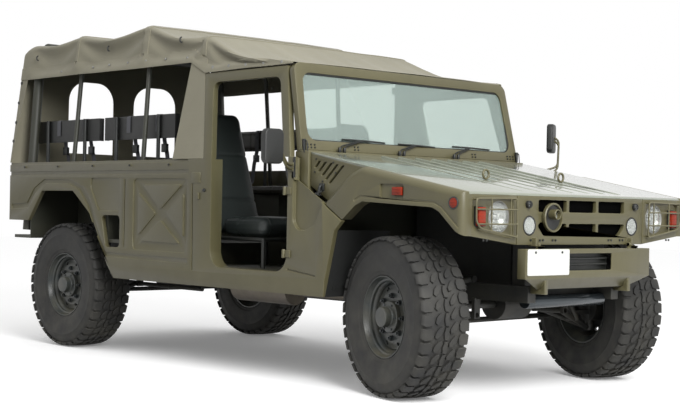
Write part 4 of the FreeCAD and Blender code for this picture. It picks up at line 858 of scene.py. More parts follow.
    def plain_glass(self) -> None:
        """Flat window glass, faintly green, with a pale diffuse haze: a little dust and a painted
        sky reflection.
        """
        self.shader.inputs["Base Color"].default_value = linear(self.finish.colour)
        self.shader.inputs["Transmission Weight"].default_value = 1.0
        self.shader.inputs["IOR"].default_value = 1.45
        self.roughness(self.ramp(self.noise(4.0, 7.0), 0.5, 0.9), 0.02)
        # A third of the glass is pale diffuse: a little dust, and a painted sky reflection.
        haze_and_reflection = self.add("ShaderNodeBsdfDiffuse")
        haze_and_reflection.inputs["Color"].default_value = linear("b4c4be")
        both = self.add("ShaderNodeMixShader")
        both.inputs["Fac"].default_value = 0.34
        self.link(self.shader.outputs["BSDF"], both.inputs[1])
        self.link(haze_and_reflection.outputs["BSDF"], both.inputs[2])
        self.link(both.outputs["Shader"], self.tree.nodes["Material Output"].inputs["Surface"])


OLIVE = Finish("olive_paint", "57533a", "olive_paint", Pattern.PAINT, 0.40, shade=0.07, dust=0.22)
# The body's olive made lighter and bluer for the hood: a painted sky sheen on the hood top.
OLIVE_PAINTED_SHEEN = Finish("olive_hood", "7d8174", "olive_paint", Pattern.PAINT, 0.17, shade=0.07,
                   coat=0.6)
TUBE = Finish("tube_enamel", "3a4044", "black_metal", Pattern.METAL, 0.2, 0.4, 0.1)
# Near black with almost no reflection: a painted shade sheet behind the grille's openings.
PAINTED_SHADE_BLACK = Finish("grille_black", "040404", "black_metal", Pattern.PLASTIC, 0.8, shade=0.1,
              specular=0.02)
# A darker copy of the olive paint for the floor pan and the canopy bows: painted shade inside the
# body, with dust.
OLIVE_PAINTED_SHADE = Finish("olive_inside", "303128", "olive_paint", Pattern.PAINT, 0.5, shade=0.1,
                    dust=0.3)
FRAME = Finish("chassis_black", "151614", "frame_paint", Pattern.PAINT, 0.6, shade=0.15, dust=0.15)
RIM = Finish("rim_paint", "2f3434", "rim_paint", Pattern.PAINT, 0.38, shade=0.12, dust=0.35)
STEEL = Finish("worn_steel", "8c8c88", "exhaust_steel", Pattern.METAL, 0.42, 0.85, 0.15, 0.2)
STEEL_DARK = Finish("dark_steel", "3c4042", "black_metal", Pattern.METAL, 0.35, 0.75, 0.15, 0.15)
EXHAUST = Finish("exhaust_steel", "5d5750", "exhaust_steel", Pattern.METAL, 0.5, 0.7, 0.2, 0.4)
BLACK = Finish("black_plastic", "1c1d1c", "black_plastic", Pattern.PLASTIC, 0.5, shade=0.12)
BLACK_METAL = Finish("black_metal", "242625", "black_metal", Pattern.METAL, 0.42, 0.3, 0.15, 0.1)
SEAL = Finish("seal_rubber", "171817", "black_plastic", Pattern.PLASTIC, 0.62, shade=0.15)
TYRE = Finish("tyre_rubber", "171716", "tyre", Pattern.RUBBER, 0.72, shade=0.12, dust=0.30,
              dust_colour="77746a")
CANVAS = Finish("canvas", "868270", "canvas", Pattern.CLOTH, 0.9, shade=0.07)
# Near-black canvas for the sheet's inner face: painted shade inside the canopy.
CANVAS_PAINTED_SHADE = Finish("canvas_inside", "191915", "canvas", Pattern.CLOTH, 0.92, shade=0.1)
WEBBING = Finish("webbing", "54555a", "canvas", Pattern.CLOTH, 0.85, shade=0.1)
VINYL = Finish("seat_vinyl", "2a302f", "seat_vinyl", Pattern.VINYL, 0.42, shade=0.1)
VINYL_BROWN = Finish("bench_vinyl", "36352f", "seat_vinyl", Pattern.VINYL, 0.5, shade=0.1)
GLASS = Finish("window_glass", "c8d4ce", "glass", Pattern.PLAIN_GLASS, 0.03)
LAMP_GLASS = Finish("lamp_glass", "f4f6f4", "lamp_glass", Pattern.LENS, 0.06, shade=0.03)
AMBER = Finish("amber_lens", "862c1a", "amber_lens", Pattern.LENS, 0.18, shade=0.1, specular=0.2)
RED = Finish("red_lens", "94160c", "red_lens", Pattern.LENS, 0.18, shade=0.1)
SILVER = Finish("lamp_silver", "b4b6b2", "lamp_glass", Pattern.METAL, 0.20, 0.45, 0.05)
MIRROR = Finish("mirror_glass", "c9d0d2", "glass", Pattern.METAL, 0.06, 1.0, 0.03)
WHITE = Finish("plate_white", "d8d9d4", "olive_paint", Pattern.PLASTIC, 0.45, shade=0.03)


def dress(
    piece: bpy.types.Object, finish: Finish, body: Body | str | None = None
) -> bpy.types.Object:
    """Gives a piece its finish and, for a new piece, the body that it rides on.

    Args:
        piece: the object.
        finish: its surface.
        body: the body or its name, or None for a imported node, which has one.

    Returns:
        The same object.
    """
    piece.data.materials.clear()
    piece.data.materials.append(finish.material())
    if body is not None:
        body = body.value if isinstance(body, Body) else body
        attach(piece, body)
        LOG.info("%s rides on %s, %d faces", piece.name, body, len(piece.data.polygons))
    return piece


@dataclass
class PlainNodes:
    """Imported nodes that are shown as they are, with a finish each."""

    finishes: dict[str, Finish] = field(default_factory=lambda: {
        "chassis_frame": FRAME,
        # The floor pan and the canopy bows take the olive with painted shade.
        "floor_pan": OLIVE_PAINTED_SHADE,
        "driveline": FRAME,
        "engine": FRAME,
        "exhaust": EXHAUST,
        "fuel_tanks": FRAME,
        "suspension": FRAME,
        "wheel_liners": SEAL,
        "canopy_bows": OLIVE_PAINTED_SHADE,
        "seat_frames": BLACK_METAL,
        "dashboard": BLACK,
        "steering_wheel": BLACK,
        "windscreen_glass": GLASS,
        "tie_rod_front": FRAME,
        "tie_rod_rear": FRAME,
    })

    def build(self) -> None:
        """Dresses each node that is still shown."""
        for name, node in frame["nodes"].items():
            if node.hide_render:
                continue
            if name.startswith("knuckle"):
                dress(node, FRAME)
            elif name.startswith("rim"):
                dress(node, RIM)
            elif name.startswith("tyre"):
                dress(node, TYRE)
            else:
                dress(node, self.finishes.get(name, OLIVE))


def rectangle(left: float, right: float, low: float, high: float) -> list[Point]:
    """A rectangle's corners in a plane."""
    return [(left, low), (right, low), (right, high), (left, high)]


def from_axle(axle: float, shares: Sequence[Point]) -> list[Point]:
    """An outline given as shares of the tyre's radius from a wheel's centre."""
    return [(axle + TYRE_RADIUS * along, TYRE_RADIUS * (1 + up)) for along, up in shares]


@dataclass
class Pressings:
    """Plain sheet-metal nodes that get rounded edges, each with its body."""

    edge: float = 0.004
    nodes: dict[str, Body] = field(default_factory=lambda: {
        "rear_panel": Body.ROOT,
        "cowl": Body.ROOT,
        "windscreen_frame": Body.ROOT,
        "rear_door": Body.REAR_DOOR,
    })

    def build(self) -> None:
        """Copies, softens and paints each node."""
        for node, body in self.nodes.items():
            piece = Shop.from_node(node + "_pressing", node, dissolve=node != "windscreen_frame")
            Shop.softened(piece, self.edge)
            dress(piece, OLIVE, body)


@dataclass
class BodySides:
    """The pressed sides: channels, panels, belt crease, scoop, tucked sill and swept pillar."""

    half: float = BODY_HALF
    depth: float = 0.009
    edge: float = 0.0026
    rear: float = BODY_REAR
    belt: float = BELT
    frame_top: float = 1.972
    frame_sweep: float = 0.090
    channel: Sequence[Point] = (
        (-1.600, 1.288), (-1.102, 1.312), (-0.892, 1.553), (-0.565, 1.708), (0.208, 1.706),
        (0.574, 1.596), (0.795, 1.381), (1.038, 0.936), (1.274, 0.575), (3.329, 0.555),
        (3.332, 0.484), (1.230, 0.509), (0.925, 0.952), (0.720, 1.301), (0.480, 1.540),
        (0.174, 1.632), (-0.523, 1.636), (-0.849, 1.470), (-1.060, 1.228), (-1.600, 1.204),
    )
    small_panel: Sequence[Point] = (
        (0.825, 1.724), (1.622, 1.721), (1.623, 1.217), (1.046, 1.208), (0.806, 1.577),
    )
    grooves: Sequence[Sequence[Point]] = (
        ((1.741, 0.659), (1.762, 0.659), (1.762, 1.711), (1.741, 1.711)),
        ((3.440, 0.392), (3.462, 0.392), (3.440, 1.635), (3.418, 1.635)),
    )
    cross_panel: Sequence[Point] = ((1.975, 1.710), (3.310, 1.707), (3.310, 0.637), (1.975, 0.637))
    cross_fields: Sequence[Sequence[Point]] = (
        ((2.211, 1.617), (3.177, 1.617), (2.661, 1.251)),
        ((2.102, 1.514), (2.555, 1.194), (2.109, 0.850)),
        ((3.225, 1.501), (3.230, 0.848), (2.800, 1.207)),
        ((2.666, 1.104), (3.146, 0.763), (2.175, 0.777)),
    )
    foot_groove: Sequence[Point] = (
        (-1.805, 0.518), (-1.261, 0.453), (-1.261, 0.431), (-1.805, 0.496),
    )
    scoop: Sequence[Point] = (
        (1.043, 1.257), (1.043, 0.996), (1.080, 0.946), (1.145, 0.940), (1.243, 0.976),
        (1.307, 1.107),
    )
    scoop_depth: float = 0.026
    belt_strips: Sequence[Point] = ((-0.100, -0.072), (-0.018, 0.02))
    fold: float = 0.640
    fold_drop: float = 0.092
    tuck: float = 0.018

    def sunk(self, side: Side, outline: Sequence[Point], depth: float) -> bpy.types.Object:
        """A cutter with an outline on the side, down to a depth below its face."""
        out = side.value * (self.half + 0.02)
        return Shop.plate("tool", Plane.XZ, outline, side.value * (self.half - depth), out)

    def tools(self, side: Side) -> list[bpy.types.Object]:
        """All the cutters of a side."""
        panel = from_axle(REAR_AXLE, self.cross_panel)
        small = from_axle(REAR_AXLE, self.small_panel)
        tools = [
            self.sunk(side, from_axle(REAR_AXLE, self.channel), self.depth),
            self.sunk(side, Shop.eased(small, 0.022), self.depth),
            self.sunk(side, from_axle(FRONT_AXLE, self.foot_groove), self.depth),
            self.sunk(side, Shop.eased(self.scoop, 0.022), self.scoop_depth),
        ]
        for groove in self.grooves:
            tools.append(self.sunk(side, from_axle(REAR_AXLE, groove), self.depth))
        field_cutter = self.sunk(side, Shop.eased(panel, 0.045), self.depth)
        raised = [self.sunk(side, Shop.eased(from_axle(REAR_AXLE, points), 0.030),
                            self.depth + 0.01) for points in self.cross_fields]
        tools.append(Shop.cut(field_cutter, *raised))
        end = panel[1][0]
        for low, high in self.belt_strips:
            low, high = self.belt + low, self.belt + high
            strip = rectangle(self.rear - 0.02, end, low, high)
            tools.append(self.sunk(side, strip, self.depth))
        return tools

    def tucked(self, piece: bpy.types.Object) -> None:
        """Folds the sill inwards below its fold line."""
        Shop.sliced(piece, [(2, self.fold)])
        for vertex in piece.data.vertices:
            below = self.fold - vertex.co.z
            if below > 0 and abs(vertex.co.y) > self.half - 0.001:
                vertex.co.y -= math.copysign(self.tuck * below / self.fold_drop, vertex.co.y)

    def build(self) -> None:
        """Copies each side, sweeps its pillar, presses and paints it."""
        for side in Side:
            node = f"body_side_{side.word}"
            piece = Shop.from_node(node + "_pressing", node)
            for vertex in piece.data.vertices:
                rise = (vertex.co.z - self.belt) / (self.frame_top - self.belt)
                if rise > 0.01 and vertex.co.x < 0.40:
                    vertex.co.x -= self.frame_sweep * min(1.0, rise)
            self.tucked(piece)
            Shop.cut(piece, *self.tools(side))
            Shop.softened(piece, self.edge)
            dress(piece, OLIVE, Body.ROOT)


@dataclass
class Clamshell:
    """The hood, its fenders and the nose, with their ribs, louvres, recesses and lamp bays."""

    front: float = NOSE
    front_height: float = 1.184
    rear: float = 1.1325
    rear_height: float = 1.420
    face: float = 1.070
    wall: float = 1.012
    shoulder: float = 0.040
    arch: Sequence[Point] = (
        (-0.573, 1.359), (-0.451, 1.413), (0.711, 1.355), (0.823, 1.308), (1.083, 1.080),
    )
    arch_crease: Point = (1.035, 1.055)
    flare: Sequence[Point] = ((-0.801, 1.163), (-1.151, 1.380), (-0.704, 1.761), (-0.474, 1.837))
    first_louvre: Sequence[Point] = ((-1.385, 1.935), (-1.470, 1.845))
    last_louvre: Sequence[Point] = ((-0.945, 1.869), (-1.199, 1.637))
    louvres: int = 5
    louvre_width: float = 0.024
    recess: Sequence[float] = (1.7765, 1.9605, 1.140, 1.224)
    bay: Sequence[Point] = (
        (0.640, 0.934), (0.954, 0.988), (0.984, 1.018), (0.984, 1.147), (0.640, 1.147),
    )
    fog: Sequence[float] = (0.494, 1.003, 0.0563)
    seam: float = 0.603
    seam_width: float = 0.006
    seam_heights: Point = (0.880, 1.200)
    grille: Sequence[float] = (-0.432, 0.432, 0.938, 1.158)
    ribs_aside: int = 3
    rib_inset: float = 0.060
    rib_spacing: float = 0.155
    rib_width: float = 0.028
    rib_height: float = 0.006

    def level(self, x: float) -> float:
        """Height of the hood's skin at a station."""
        share = (x - self.rear) / (self.front - self.rear)
        return self.rear_height + (self.front_height - self.rear_height) * share

    def build(self) -> None:
        """Makes the hood, both fenders and the nose."""
        self.hood()
        for side in Side:
            self.fender(side)
        self.nose()

    def hood(self) -> None:
        """The hood skin with its lengthwise ribs and rounded front edge."""
        piece = Shop.from_node("hood_pressing", "hood_panel")

        def at_front(a: Vector, b: Vector) -> bool:
            """Whether an edge is the upper front one."""
            return min(a.x, b.x) > self.front - 0.002 and min(a.z, b.z) > self.front_height - 0.003

        Shop.bevelled(piece, at_front, 0.012, 4)
        Shop.softened(piece, 0.0025)
        start, stop = self.rear + self.rib_inset, self.front - self.rib_inset
        lift, half = self.rib_height, self.rib_width / 2
        low, high = self.level(start), self.level(stop)
        outline = [(start, low - 0.004), (stop, high - 0.004), (stop - 0.018, high + lift),
                   (start + 0.018, low + lift)]
        ribs = []
        for index in range(-self.ribs_aside, self.ribs_aside + 1):
            y = index * self.rib_spacing
            rib = Shop.plate("rib", Plane.XZ, outline, y - half, y + half)
            ribs.append(Shop.softened(rib, 0.0038, 3))
        ribs = Shop.joined("ribs", ribs)
        piece = Shop.joined("hood_pressing", [piece, ribs])
        # The hood takes the olive with the painted sky sheen.
        dress(piece, OLIVE_PAINTED_SHEEN, Body.HOOD)

    def fender(self, side: Side) -> None:
        """A fender with a round shoulder, louvres, the arch's crease and the lamp's recess."""
        node = f"fender_{side.word}"
        piece = Shop.from_node(node + "_pressing", node)
        flare = from_axle(FRONT_AXLE, self.flare)
        upper = flare[2][0] - 0.002

        def at_bend(a: Vector, b: Vector) -> bool:
            """Whether an edge crosses the flare's step at one of its two upper bends."""
            if abs(a.x - b.x) > 1e-3 or abs(abs(a.y) - abs(b.y)) < 0.03:
                return False
            return any(abs(a.x - x) < 0.006 and a.z > z - 0.03 for x, z in flare[2:])

        def at_shoulder(a: Vector, b: Vector) -> bool:
            """Whether an edge lies on the fender's upper or front outer edge."""
            if min(abs(a.y), abs(b.y)) < self.face - 0.001:
                return False
            top = all(p.x > upper and p.z > self.level(p.x) - 0.006 for p in (a, b))
            front = min(a.x, b.x) > self.front - 0.002
            rear = all(p.x < flare[3][0] + 0.03 and p.z > flare[1][1] - 0.01
                       and p.z > flare[1][1] + (p.x - flare[1][0]) * 0.7 - 0.05 for p in (a, b))
            return top or front or rear

        Shop.bevelled(piece, at_bend, 0.060, 6)
        Shop.bevelled(piece, at_shoulder, self.shoulder, 7)
        near, far = side.value * (self.face - 0.004), side.value * (self.face + 0.02)
        arches = [from_axle(FRONT_AXLE, [(x * k, z * k) for x, z in self.arch])
                  for k in self.arch_crease]
        tools = [Shop.plate("tool", Plane.XZ, arches[0] + arches[1][::-1], near, far)]
        outline = Shop.eased(rectangle(*self.recess), 0.012)
        tools.append(Shop.plate("tool", Plane.XZ, outline, side.value * (self.face - 0.014), far))
        inner, outer = side.value * (self.wall - 0.044), side.value * (self.wall + 0.02)
        for index in range(self.louvres):
            share = index / (self.louvres - 1)
            (x1, z1), (x0, z0) = from_axle(FRONT_AXLE, [
                [m + (n - m) * share for m, n in zip(a, b)]
                for a, b in zip(self.first_louvre, self.last_louvre)])
            slot = [(x0, z0), (x0 + self.louvre_width, z0), (x1 + self.louvre_width, z1), (x1, z1)]
            tools.append(Shop.plate("tool", Plane.XZ, Shop.eased(slot, 0.010), inner, outer))
        Shop.cut(piece, *tools)
        Shop.softened(piece, 0.0018)
        dress(piece, OLIVE, Body.HOOD)

    def nose(self) -> None:
        """The nose: grille openings with rounded corners, lamp bays and fog lamp holes."""
        piece = Shop.from_node("nose_pressing", "front_grille")

        def across(a: Vector, b: Vector) -> bool:
            """Whether an edge is a grille opening's corner, running through the nose."""
            through = abs(a.x - b.x) > 0.02 and (a - b).length < abs(a.x - b.x) + 1e-4
            return through and abs(a.y) < 0.42 and 0.940 < a.z < 1.155

        def lower_outer(a: Vector, b: Vector) -> bool:
            """Whether an edge is the lower outer corner of the grille."""
            return across(a, b) and abs(a.y) > 0.40 and a.z < 0.955

        Shop.bevelled(piece, lower_outer, 0.048, 1)
        Shop.bevelled(piece, across, 0.014, 4)
        tools = []
        for side in Side:
            bay = [(side.value * y, z) for y, z in self.bay]
            tools.append(Shop.plate("tool", Plane.YZ, Shop.eased(bay, 0.022), self.front - 0.014,
                                    self.front + 0.02))
            y, z, radius = self.fog
            tools.append(Shop.rod("tool", (self.front - 0.05, side.value * y, z),
                                  (self.front + 0.05, side.value * y, z), radius, sides=56))
            foot, head = self.seam_heights
            tools.append(Shop.box("tool", *Shop.ordered(
                side, (self.front - 0.009, self.seam, foot),
                (self.front + 0.02, self.seam + self.seam_width, head)), 0))
        left, right, low, high = self.grille
        # A black sheet behind the grille openings: painted shade in place of the dark space behind
        # them.
        screen = Shop.box("grille_screen", (self.front - 0.034, left, low),
                          (self.front - 0.030, right, high), 0)
        dress(screen, PAINTED_SHADE_BLACK, Body.HOOD)
        Shop.cut(piece, *tools)
        Shop.softened(piece, 0.0022)
        dress(piece, OLIVE, Body.HOOD)


@dataclass
class Bumper:
    """The bumper channel with its slot, the valance below, the bare plate and the tube."""

    face: float = 2.455
    half: float = 0.598
    low: float = 0.705
    slot: Sequence[float] = (-0.208, 0.208, 0.748, 0.846)
    valance_drop: float = 0.062
    valance_setback: float = 0.048
    valance_foot: float = 0.430
    wall: float = 0.008
    tube_top: float = 0.602
    tube_front: float = 2.320
    plate: Sequence[float] = (-0.585, -0.205, 0.724, 0.872)

    def build(self) -> None:
        """Makes the bumper and what is fixed to it."""
        piece = Shop.from_node("bumper_pressing", "front_bumper")
        left, right, low, high = self.slot
        outline = Shop.eased(rectangle(*self.slot), 0.010)
        Shop.cut(piece, Shop.plate("tool", Plane.YZ, outline, self.face - 0.03, self.face + 0.02))
        Shop.softened(piece, 0.003)
        foot, bottom = self.face - self.valance_setback, self.low - self.valance_drop
        section = [(self.face - self.wall, self.low + 0.002), (self.face, self.low + 0.002),
                   (foot, bottom), (foot - self.wall, bottom)]
        valance = Shop.plate("valance", Plane.XZ, section, -self.half, self.half)
        for vertex in valance.data.vertices:
            drop = max(0.0, self.low - vertex.co.z) / self.valance_drop
            vertex.co.y *= 1 - (1 - self.valance_foot / self.half) * drop
        Shop.softened(valance, 0.0015)
        piece = Shop.joined("bumper_pressing", [piece, valance])
        dress(piece, OLIVE, Body.ROOT)
        piece.data.materials.append(TUBE.material())
        for face in piece.data.polygons:
            if face.center.z < self.tube_top and face.center.x < self.tube_front:
                face.material_index = 1
        self.number_plate()
        x = self.face - 0.035
        bars = [Shop.rod("bar", (x, left + 0.005, z), (x, right - 0.005, z), 0.006, sides=12)
                for z in (low + 0.034, high - 0.030)]
        # A dark plate behind the slot: painted shade for the inside of the bumper channel.
        bars.append(Shop.box("back", (self.face - 0.056, left - 0.02, low - 0.02),
                             (self.face - 0.052, right + 0.02, high + 0.02), 0))
        dress(Shop.joined("bumper_bars", bars), BLACK_METAL, Body.ROOT)

    def number_plate(self) -> None:
        """The white plate, left bare, on two bolts."""
        left, right, _, high = self.plate
        plate = Shop.plate("number_plate", Plane.YZ, Shop.eased(rectangle(*self.plate), 0.012),
                           self.face + 0.0005, self.face + 0.0025, 0.0006, 1)
        dress(plate, WHITE, Body.ROOT)
        z = high - 0.018
        bolts = [Shop.rod("bolt", (self.face + 0.002, y, z), (self.face + 0.006, y, z), 0.007,
                          sides=6) for y in (left + 0.07, right - 0.07)]
        dress(Shop.joined("number_plate_bolts", bolts), STEEL_DARK, Body.ROOT)


@dataclass
class Corner:
    """One wheel's place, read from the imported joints."""

    end: str
    side: Side
    centre: Vector = field(init=False)
    outward: Vector = field(init=False)

    def __post_init__(self) -> None:
        """Reads the centre and the axle's direction of the wheel's joint."""
        joint = next(j for j in frame["joints"] if j["name"] == f"roll_{self.tag}")
        self.centre = Vector(joint["pos_m"])
        self.outward = Vector(joint["axis"]).normalized() * self.side.value

    @property
    def tag(self) -> str:
        """The corner's name, such as front_right."""
        return f"{self.end}_{self.side.word}"

    def matrix(self) -> Matrix:
        """Turns and moves what was made about the origin, outboard towards +Y, to this corner."""
        turn = Matrix((-self.outward.cross(Vector((0, 0, 1))), self.outward, Vector((0, 0, 1))))
        turn.transpose()
        turn.col[0] = Vector(self.outward.cross(Vector((0, 0, 1))))
        return Matrix.Translation(self.centre) @ turn.to_4x4()


CORNERS = [Corner(end, side) for end in ("front", "rear") for side in (Side.RIGHT, Side.LEFT)]


@dataclass
class Tyre:
    """Cross-country tyre: carcass, sidewall rings and three kinds of tread block."""

    radius: float = TYRE_RADIUS
    half_width: float = 0.1585
    pitches: int = 37
    tread_depth: float = 0.013
    crown: float = 0.30
    flat_half: float = 0.128
    shoulder_round: float = 0.030
    bends: Sequence[float] = (0.118, 0.128, 0.137, 0.146, 0.155)
    profile: Sequence[Point] = (
        (0.2365, 0.128), (0.244, 0.136), (0.252, 0.137), (0.262, 0.141), (0.266, 0.146),
        (0.300, 0.1540), (0.335, 0.1570), (0.372, 0.1560), (0.376, 0.1580), (0.381, 0.1555),
        (0.405, 0.1510), (0.428, 0.1450), (0.442, 0.1330), (0.449, 0.1180), (0.4515, 0.0700),
        (0.4525, 0.0),
    )
    shoulder_block: Sequence[Point] = (
        (-0.034, 0.092), (-0.012, 0.082), (0.022, 0.086), (0.031, 0.104), (0.026, 0.132),
        (0.030, 0.160), (-0.024, 0.166), (-0.038, 0.134),
    )
    middle_block: Sequence[Point] = (
        (-0.030, 0.060), (-0.016, 0.074), (0.012, 0.066), (0.034, 0.046), (0.040, 0.026),
        (0.018, 0.023), (-0.010, 0.040),
    )
    rib_block: Sequence[Point] = (
        (-0.037, -0.015), (-0.002, -0.009), (0.033, -0.016), (0.037, 0.008), (0.002, 0.016),
        (-0.034, 0.010),
    )

    @property
    def pitch(self) -> float:
        """Length of one repeat of the tread along its middle."""
        return math.tau * self.radius / self.pitches

    def block(self, name: str, outline: Sequence[Point], turned: bool) -> bpy.types.Object:
        """One tread block, made flat with its length along X and its top at zero.

        Args:
            name: the object's name.
            outline: corners along and across the tread.
            turned: whether it belongs to the far side, half a pitch on.

        Returns:
            The block with bevelled edges, cut where it has to bend.
        """
        if turned:
            outline = [(self.pitch / 2 - along, -across) for along, across in outline]
        piece = Shop.plate(name, Plane.XY, outline, -self.tread_depth - 0.003, 0.0)
        Shop.sliced(piece, [(1, sign * level) for level in self.bends for sign in (1, -1)])
        return Shop.modified(piece, "BEVEL", width=0.0022, segments=1, limit_method="ANGLE",
                             angle_limit=math.radians(50), use_clamp_overlap=True)

    def wrapped(self, place: Vector) -> Vector:
        """Bends a point of the flat tread round the carcass, whose axis is Y."""
        side = math.copysign(1.0, place.y)
        across = abs(place.y)
        flat = min(across, self.flat_half)
        level = self.radius - self.crown * flat * flat
        if across <= self.flat_half:
            radius, out = level + place.z, across
        else:
            turn = (across - self.flat_half) / self.shoulder_round
            reach = self.shoulder_round + place.z
            radius = level - self.shoulder_round + reach * math.cos(turn)
            out = self.flat_half + reach * math.sin(turn)
        angle = place.x / self.radius
        return Vector((radius * math.sin(angle), side * out, radius * math.cos(angle)))

    def tread(self) -> bpy.types.Object:
        """All the blocks of a tyre, as one mesh about the origin."""
        blocks = [self.block("rib", self.rib_block, False)]
        for turned in (False, True):
            blocks.append(self.block("shoulder", self.shoulder_block, turned))
            blocks.append(self.block("middle", self.middle_block, turned))
        tread = Shop.joined("tread", blocks)
        Shop.modified(
            tread, "ARRAY", count=self.pitches, use_relative_offset=False,
            use_constant_offset=True, constant_offset_displace=(self.pitch, 0, 0),
        )
        for vertex in tread.data.vertices:
            vertex.co = self.wrapped(vertex.co)
        return Shop.smooth(tread, 28)

    def carcass(self) -> bpy.types.Object:
        """The tyre's body under the blocks, spun about Y."""
        half = list(self.profile)
        back = [(radius, -place) for radius, place in reversed(half[:-1])]
        return Shop.turned("carcass", half + back, (0, 0, 0), (0, 1, 0), 96)

    def build(self) -> None:
        """Makes one tyre and sets a copy at each corner."""
        pattern = Shop.joined("tyre_pattern", [self.carcass(), self.tread()])
        for corner in CORNERS:
            tyre = Shop.copied(pattern, f"tyre_{corner.tag}_treaded", corner.matrix())
            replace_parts(tyre, f"tyre_{corner.tag}")
            dress(tyre, TYRE, f"wheel_{corner.tag}")
        bpy.data.objects.remove(pattern)


@dataclass
class Rim:
    """Deep steel rim with its nuts and the protruding hub."""

    barrel: Sequence[Point] = (
        (0.2360, 0.1335), (0.2335, 0.1350), (0.2300, 0.1340), (0.2270, 0.1230), (0.2215, 0.1130),
        (0.2180, 0.1040), (0.2085, 0.0980), (0.2060, 0.0840), (0.2000, 0.0780), (0.1930, 0.0660),
        (0.1900, 0.0500), (0.1900, -0.0900), (0.2200, -0.1180), (0.2270, -0.1330),
        (0.2360, -0.1335), (0.2355, -0.1200), (0.2120, -0.0700), (0.2120, 0.0600),
        (0.2355, 0.1200),
    )
    disc: Sequence[Point] = (
        (0.1910, 0.0560), (0.1840, 0.0625), (0.1700, 0.0640), (0.1580, 0.0700), (0.1460, 0.0735),
        (0.1300, 0.0720), (0.0900, 0.0715), (0.0, 0.0715), (0.0, 0.0590), (0.1500, 0.0590),
        (0.1910, 0.0440),
    )
    hub: Sequence[Point] = (
        (0.0920, 0.0700), (0.0920, 0.0960), (0.0870, 0.1010), (0.0720, 0.1030), (0.0640, 0.1040),
        (0.0620, 0.1100), (0.0590, 0.1120), (0.0580, 0.1480), (0.0545, 0.1530), (0.0300, 0.1550),
        (0.0, 0.1552), (0.0, 0.0690),
    )
    nuts: int = 8
    nut_circle: float = 0.122
    fixings: Sequence[tuple[str, Point, float, int]] = (
        ("seat", (0.070, 0.0755), 0.0175, 20),
        ("nut", (0.074, 0.0925), 0.0150, 6),
        ("stud", (0.080, 0.1030), 0.0078, 12),
    )
    hand_holes: int = 8
    hand_hole_circle: float = 0.1655
    hand_hole_radius: float = 0.0135

    def build(self) -> None:
        """Makes one rim and sets a copy at each corner."""
        axis = (0, 1, 0)
        barrel = Shop.turned("barrel", self.barrel, (0, 0, 0), axis, 96)
        disc = Shop.turned("disc", self.disc, (0, 0, 0), axis, 96)
        holes = [self.around("hole", self.hand_hole_circle, index, self.hand_holes, 0.5,
                             (0.03, 0.09), self.hand_hole_radius, 20)
                 for index in range(self.hand_holes)]
        disc = Shop.cut(disc, Shop.joined("holes", holes))
        hub = Shop.turned("hub", self.hub, (0, 0, 0), axis, 64)
        small = []
        for index in range(self.nuts):
            for name, reach, radius, sides in self.fixings:
                small.append(self.around(name, self.nut_circle, index, self.nuts, 0, reach, radius,
                                         sides))
        for index in range(6):
            small.append(self.around("bolt", 0.0775, index, 6, 0.5, (0.098, 0.1085), 0.0072, 6))
        fixings = Shop.softened(Shop.joined("fixings", small), 0.0012, 1)
        painted = Shop.joined("rim_pattern", [barrel, Shop.smooth(disc), hub])
        painted.data.materials.clear()
        painted.data.materials.append(RIM.material())
        fixings.data.materials.append(STEEL_DARK.material())
        pattern = Shop.joined("rim_pattern", [painted, fixings])
        for corner in CORNERS:
            rim = Shop.copied(pattern, f"rim_{corner.tag}_detailed", corner.matrix())
            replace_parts(rim, f"rim_{corner.tag}")
            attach(rim, f"wheel_{corner.tag}")
        bpy.data.objects.remove(pattern)

    @staticmethod
    def around(name: str, circle: float, index: int, count: int, shift: float,
               reach: Point, radius: float, sides: int) -> bpy.types.Object:
        """A small bar along Y at one of several places on a circle.

        Args:
            name: the object's name.
            circle: radius of the circle.
            index: which place.
            count: how many places.
            shift: a share of a place to turn by.
            reach: where the bar starts and ends along Y.
            radius: the bar's radius.
            sides: its number of sides.

        Returns:
            The new object.
        """
        angle = math.tau * (index + shift) / count
        x, z = circle * math.sin(angle), circle * math.cos(angle)
        return Shop.rod(name, (x, reach[0], z), (x, reach[1], z), radius, sides=sides)


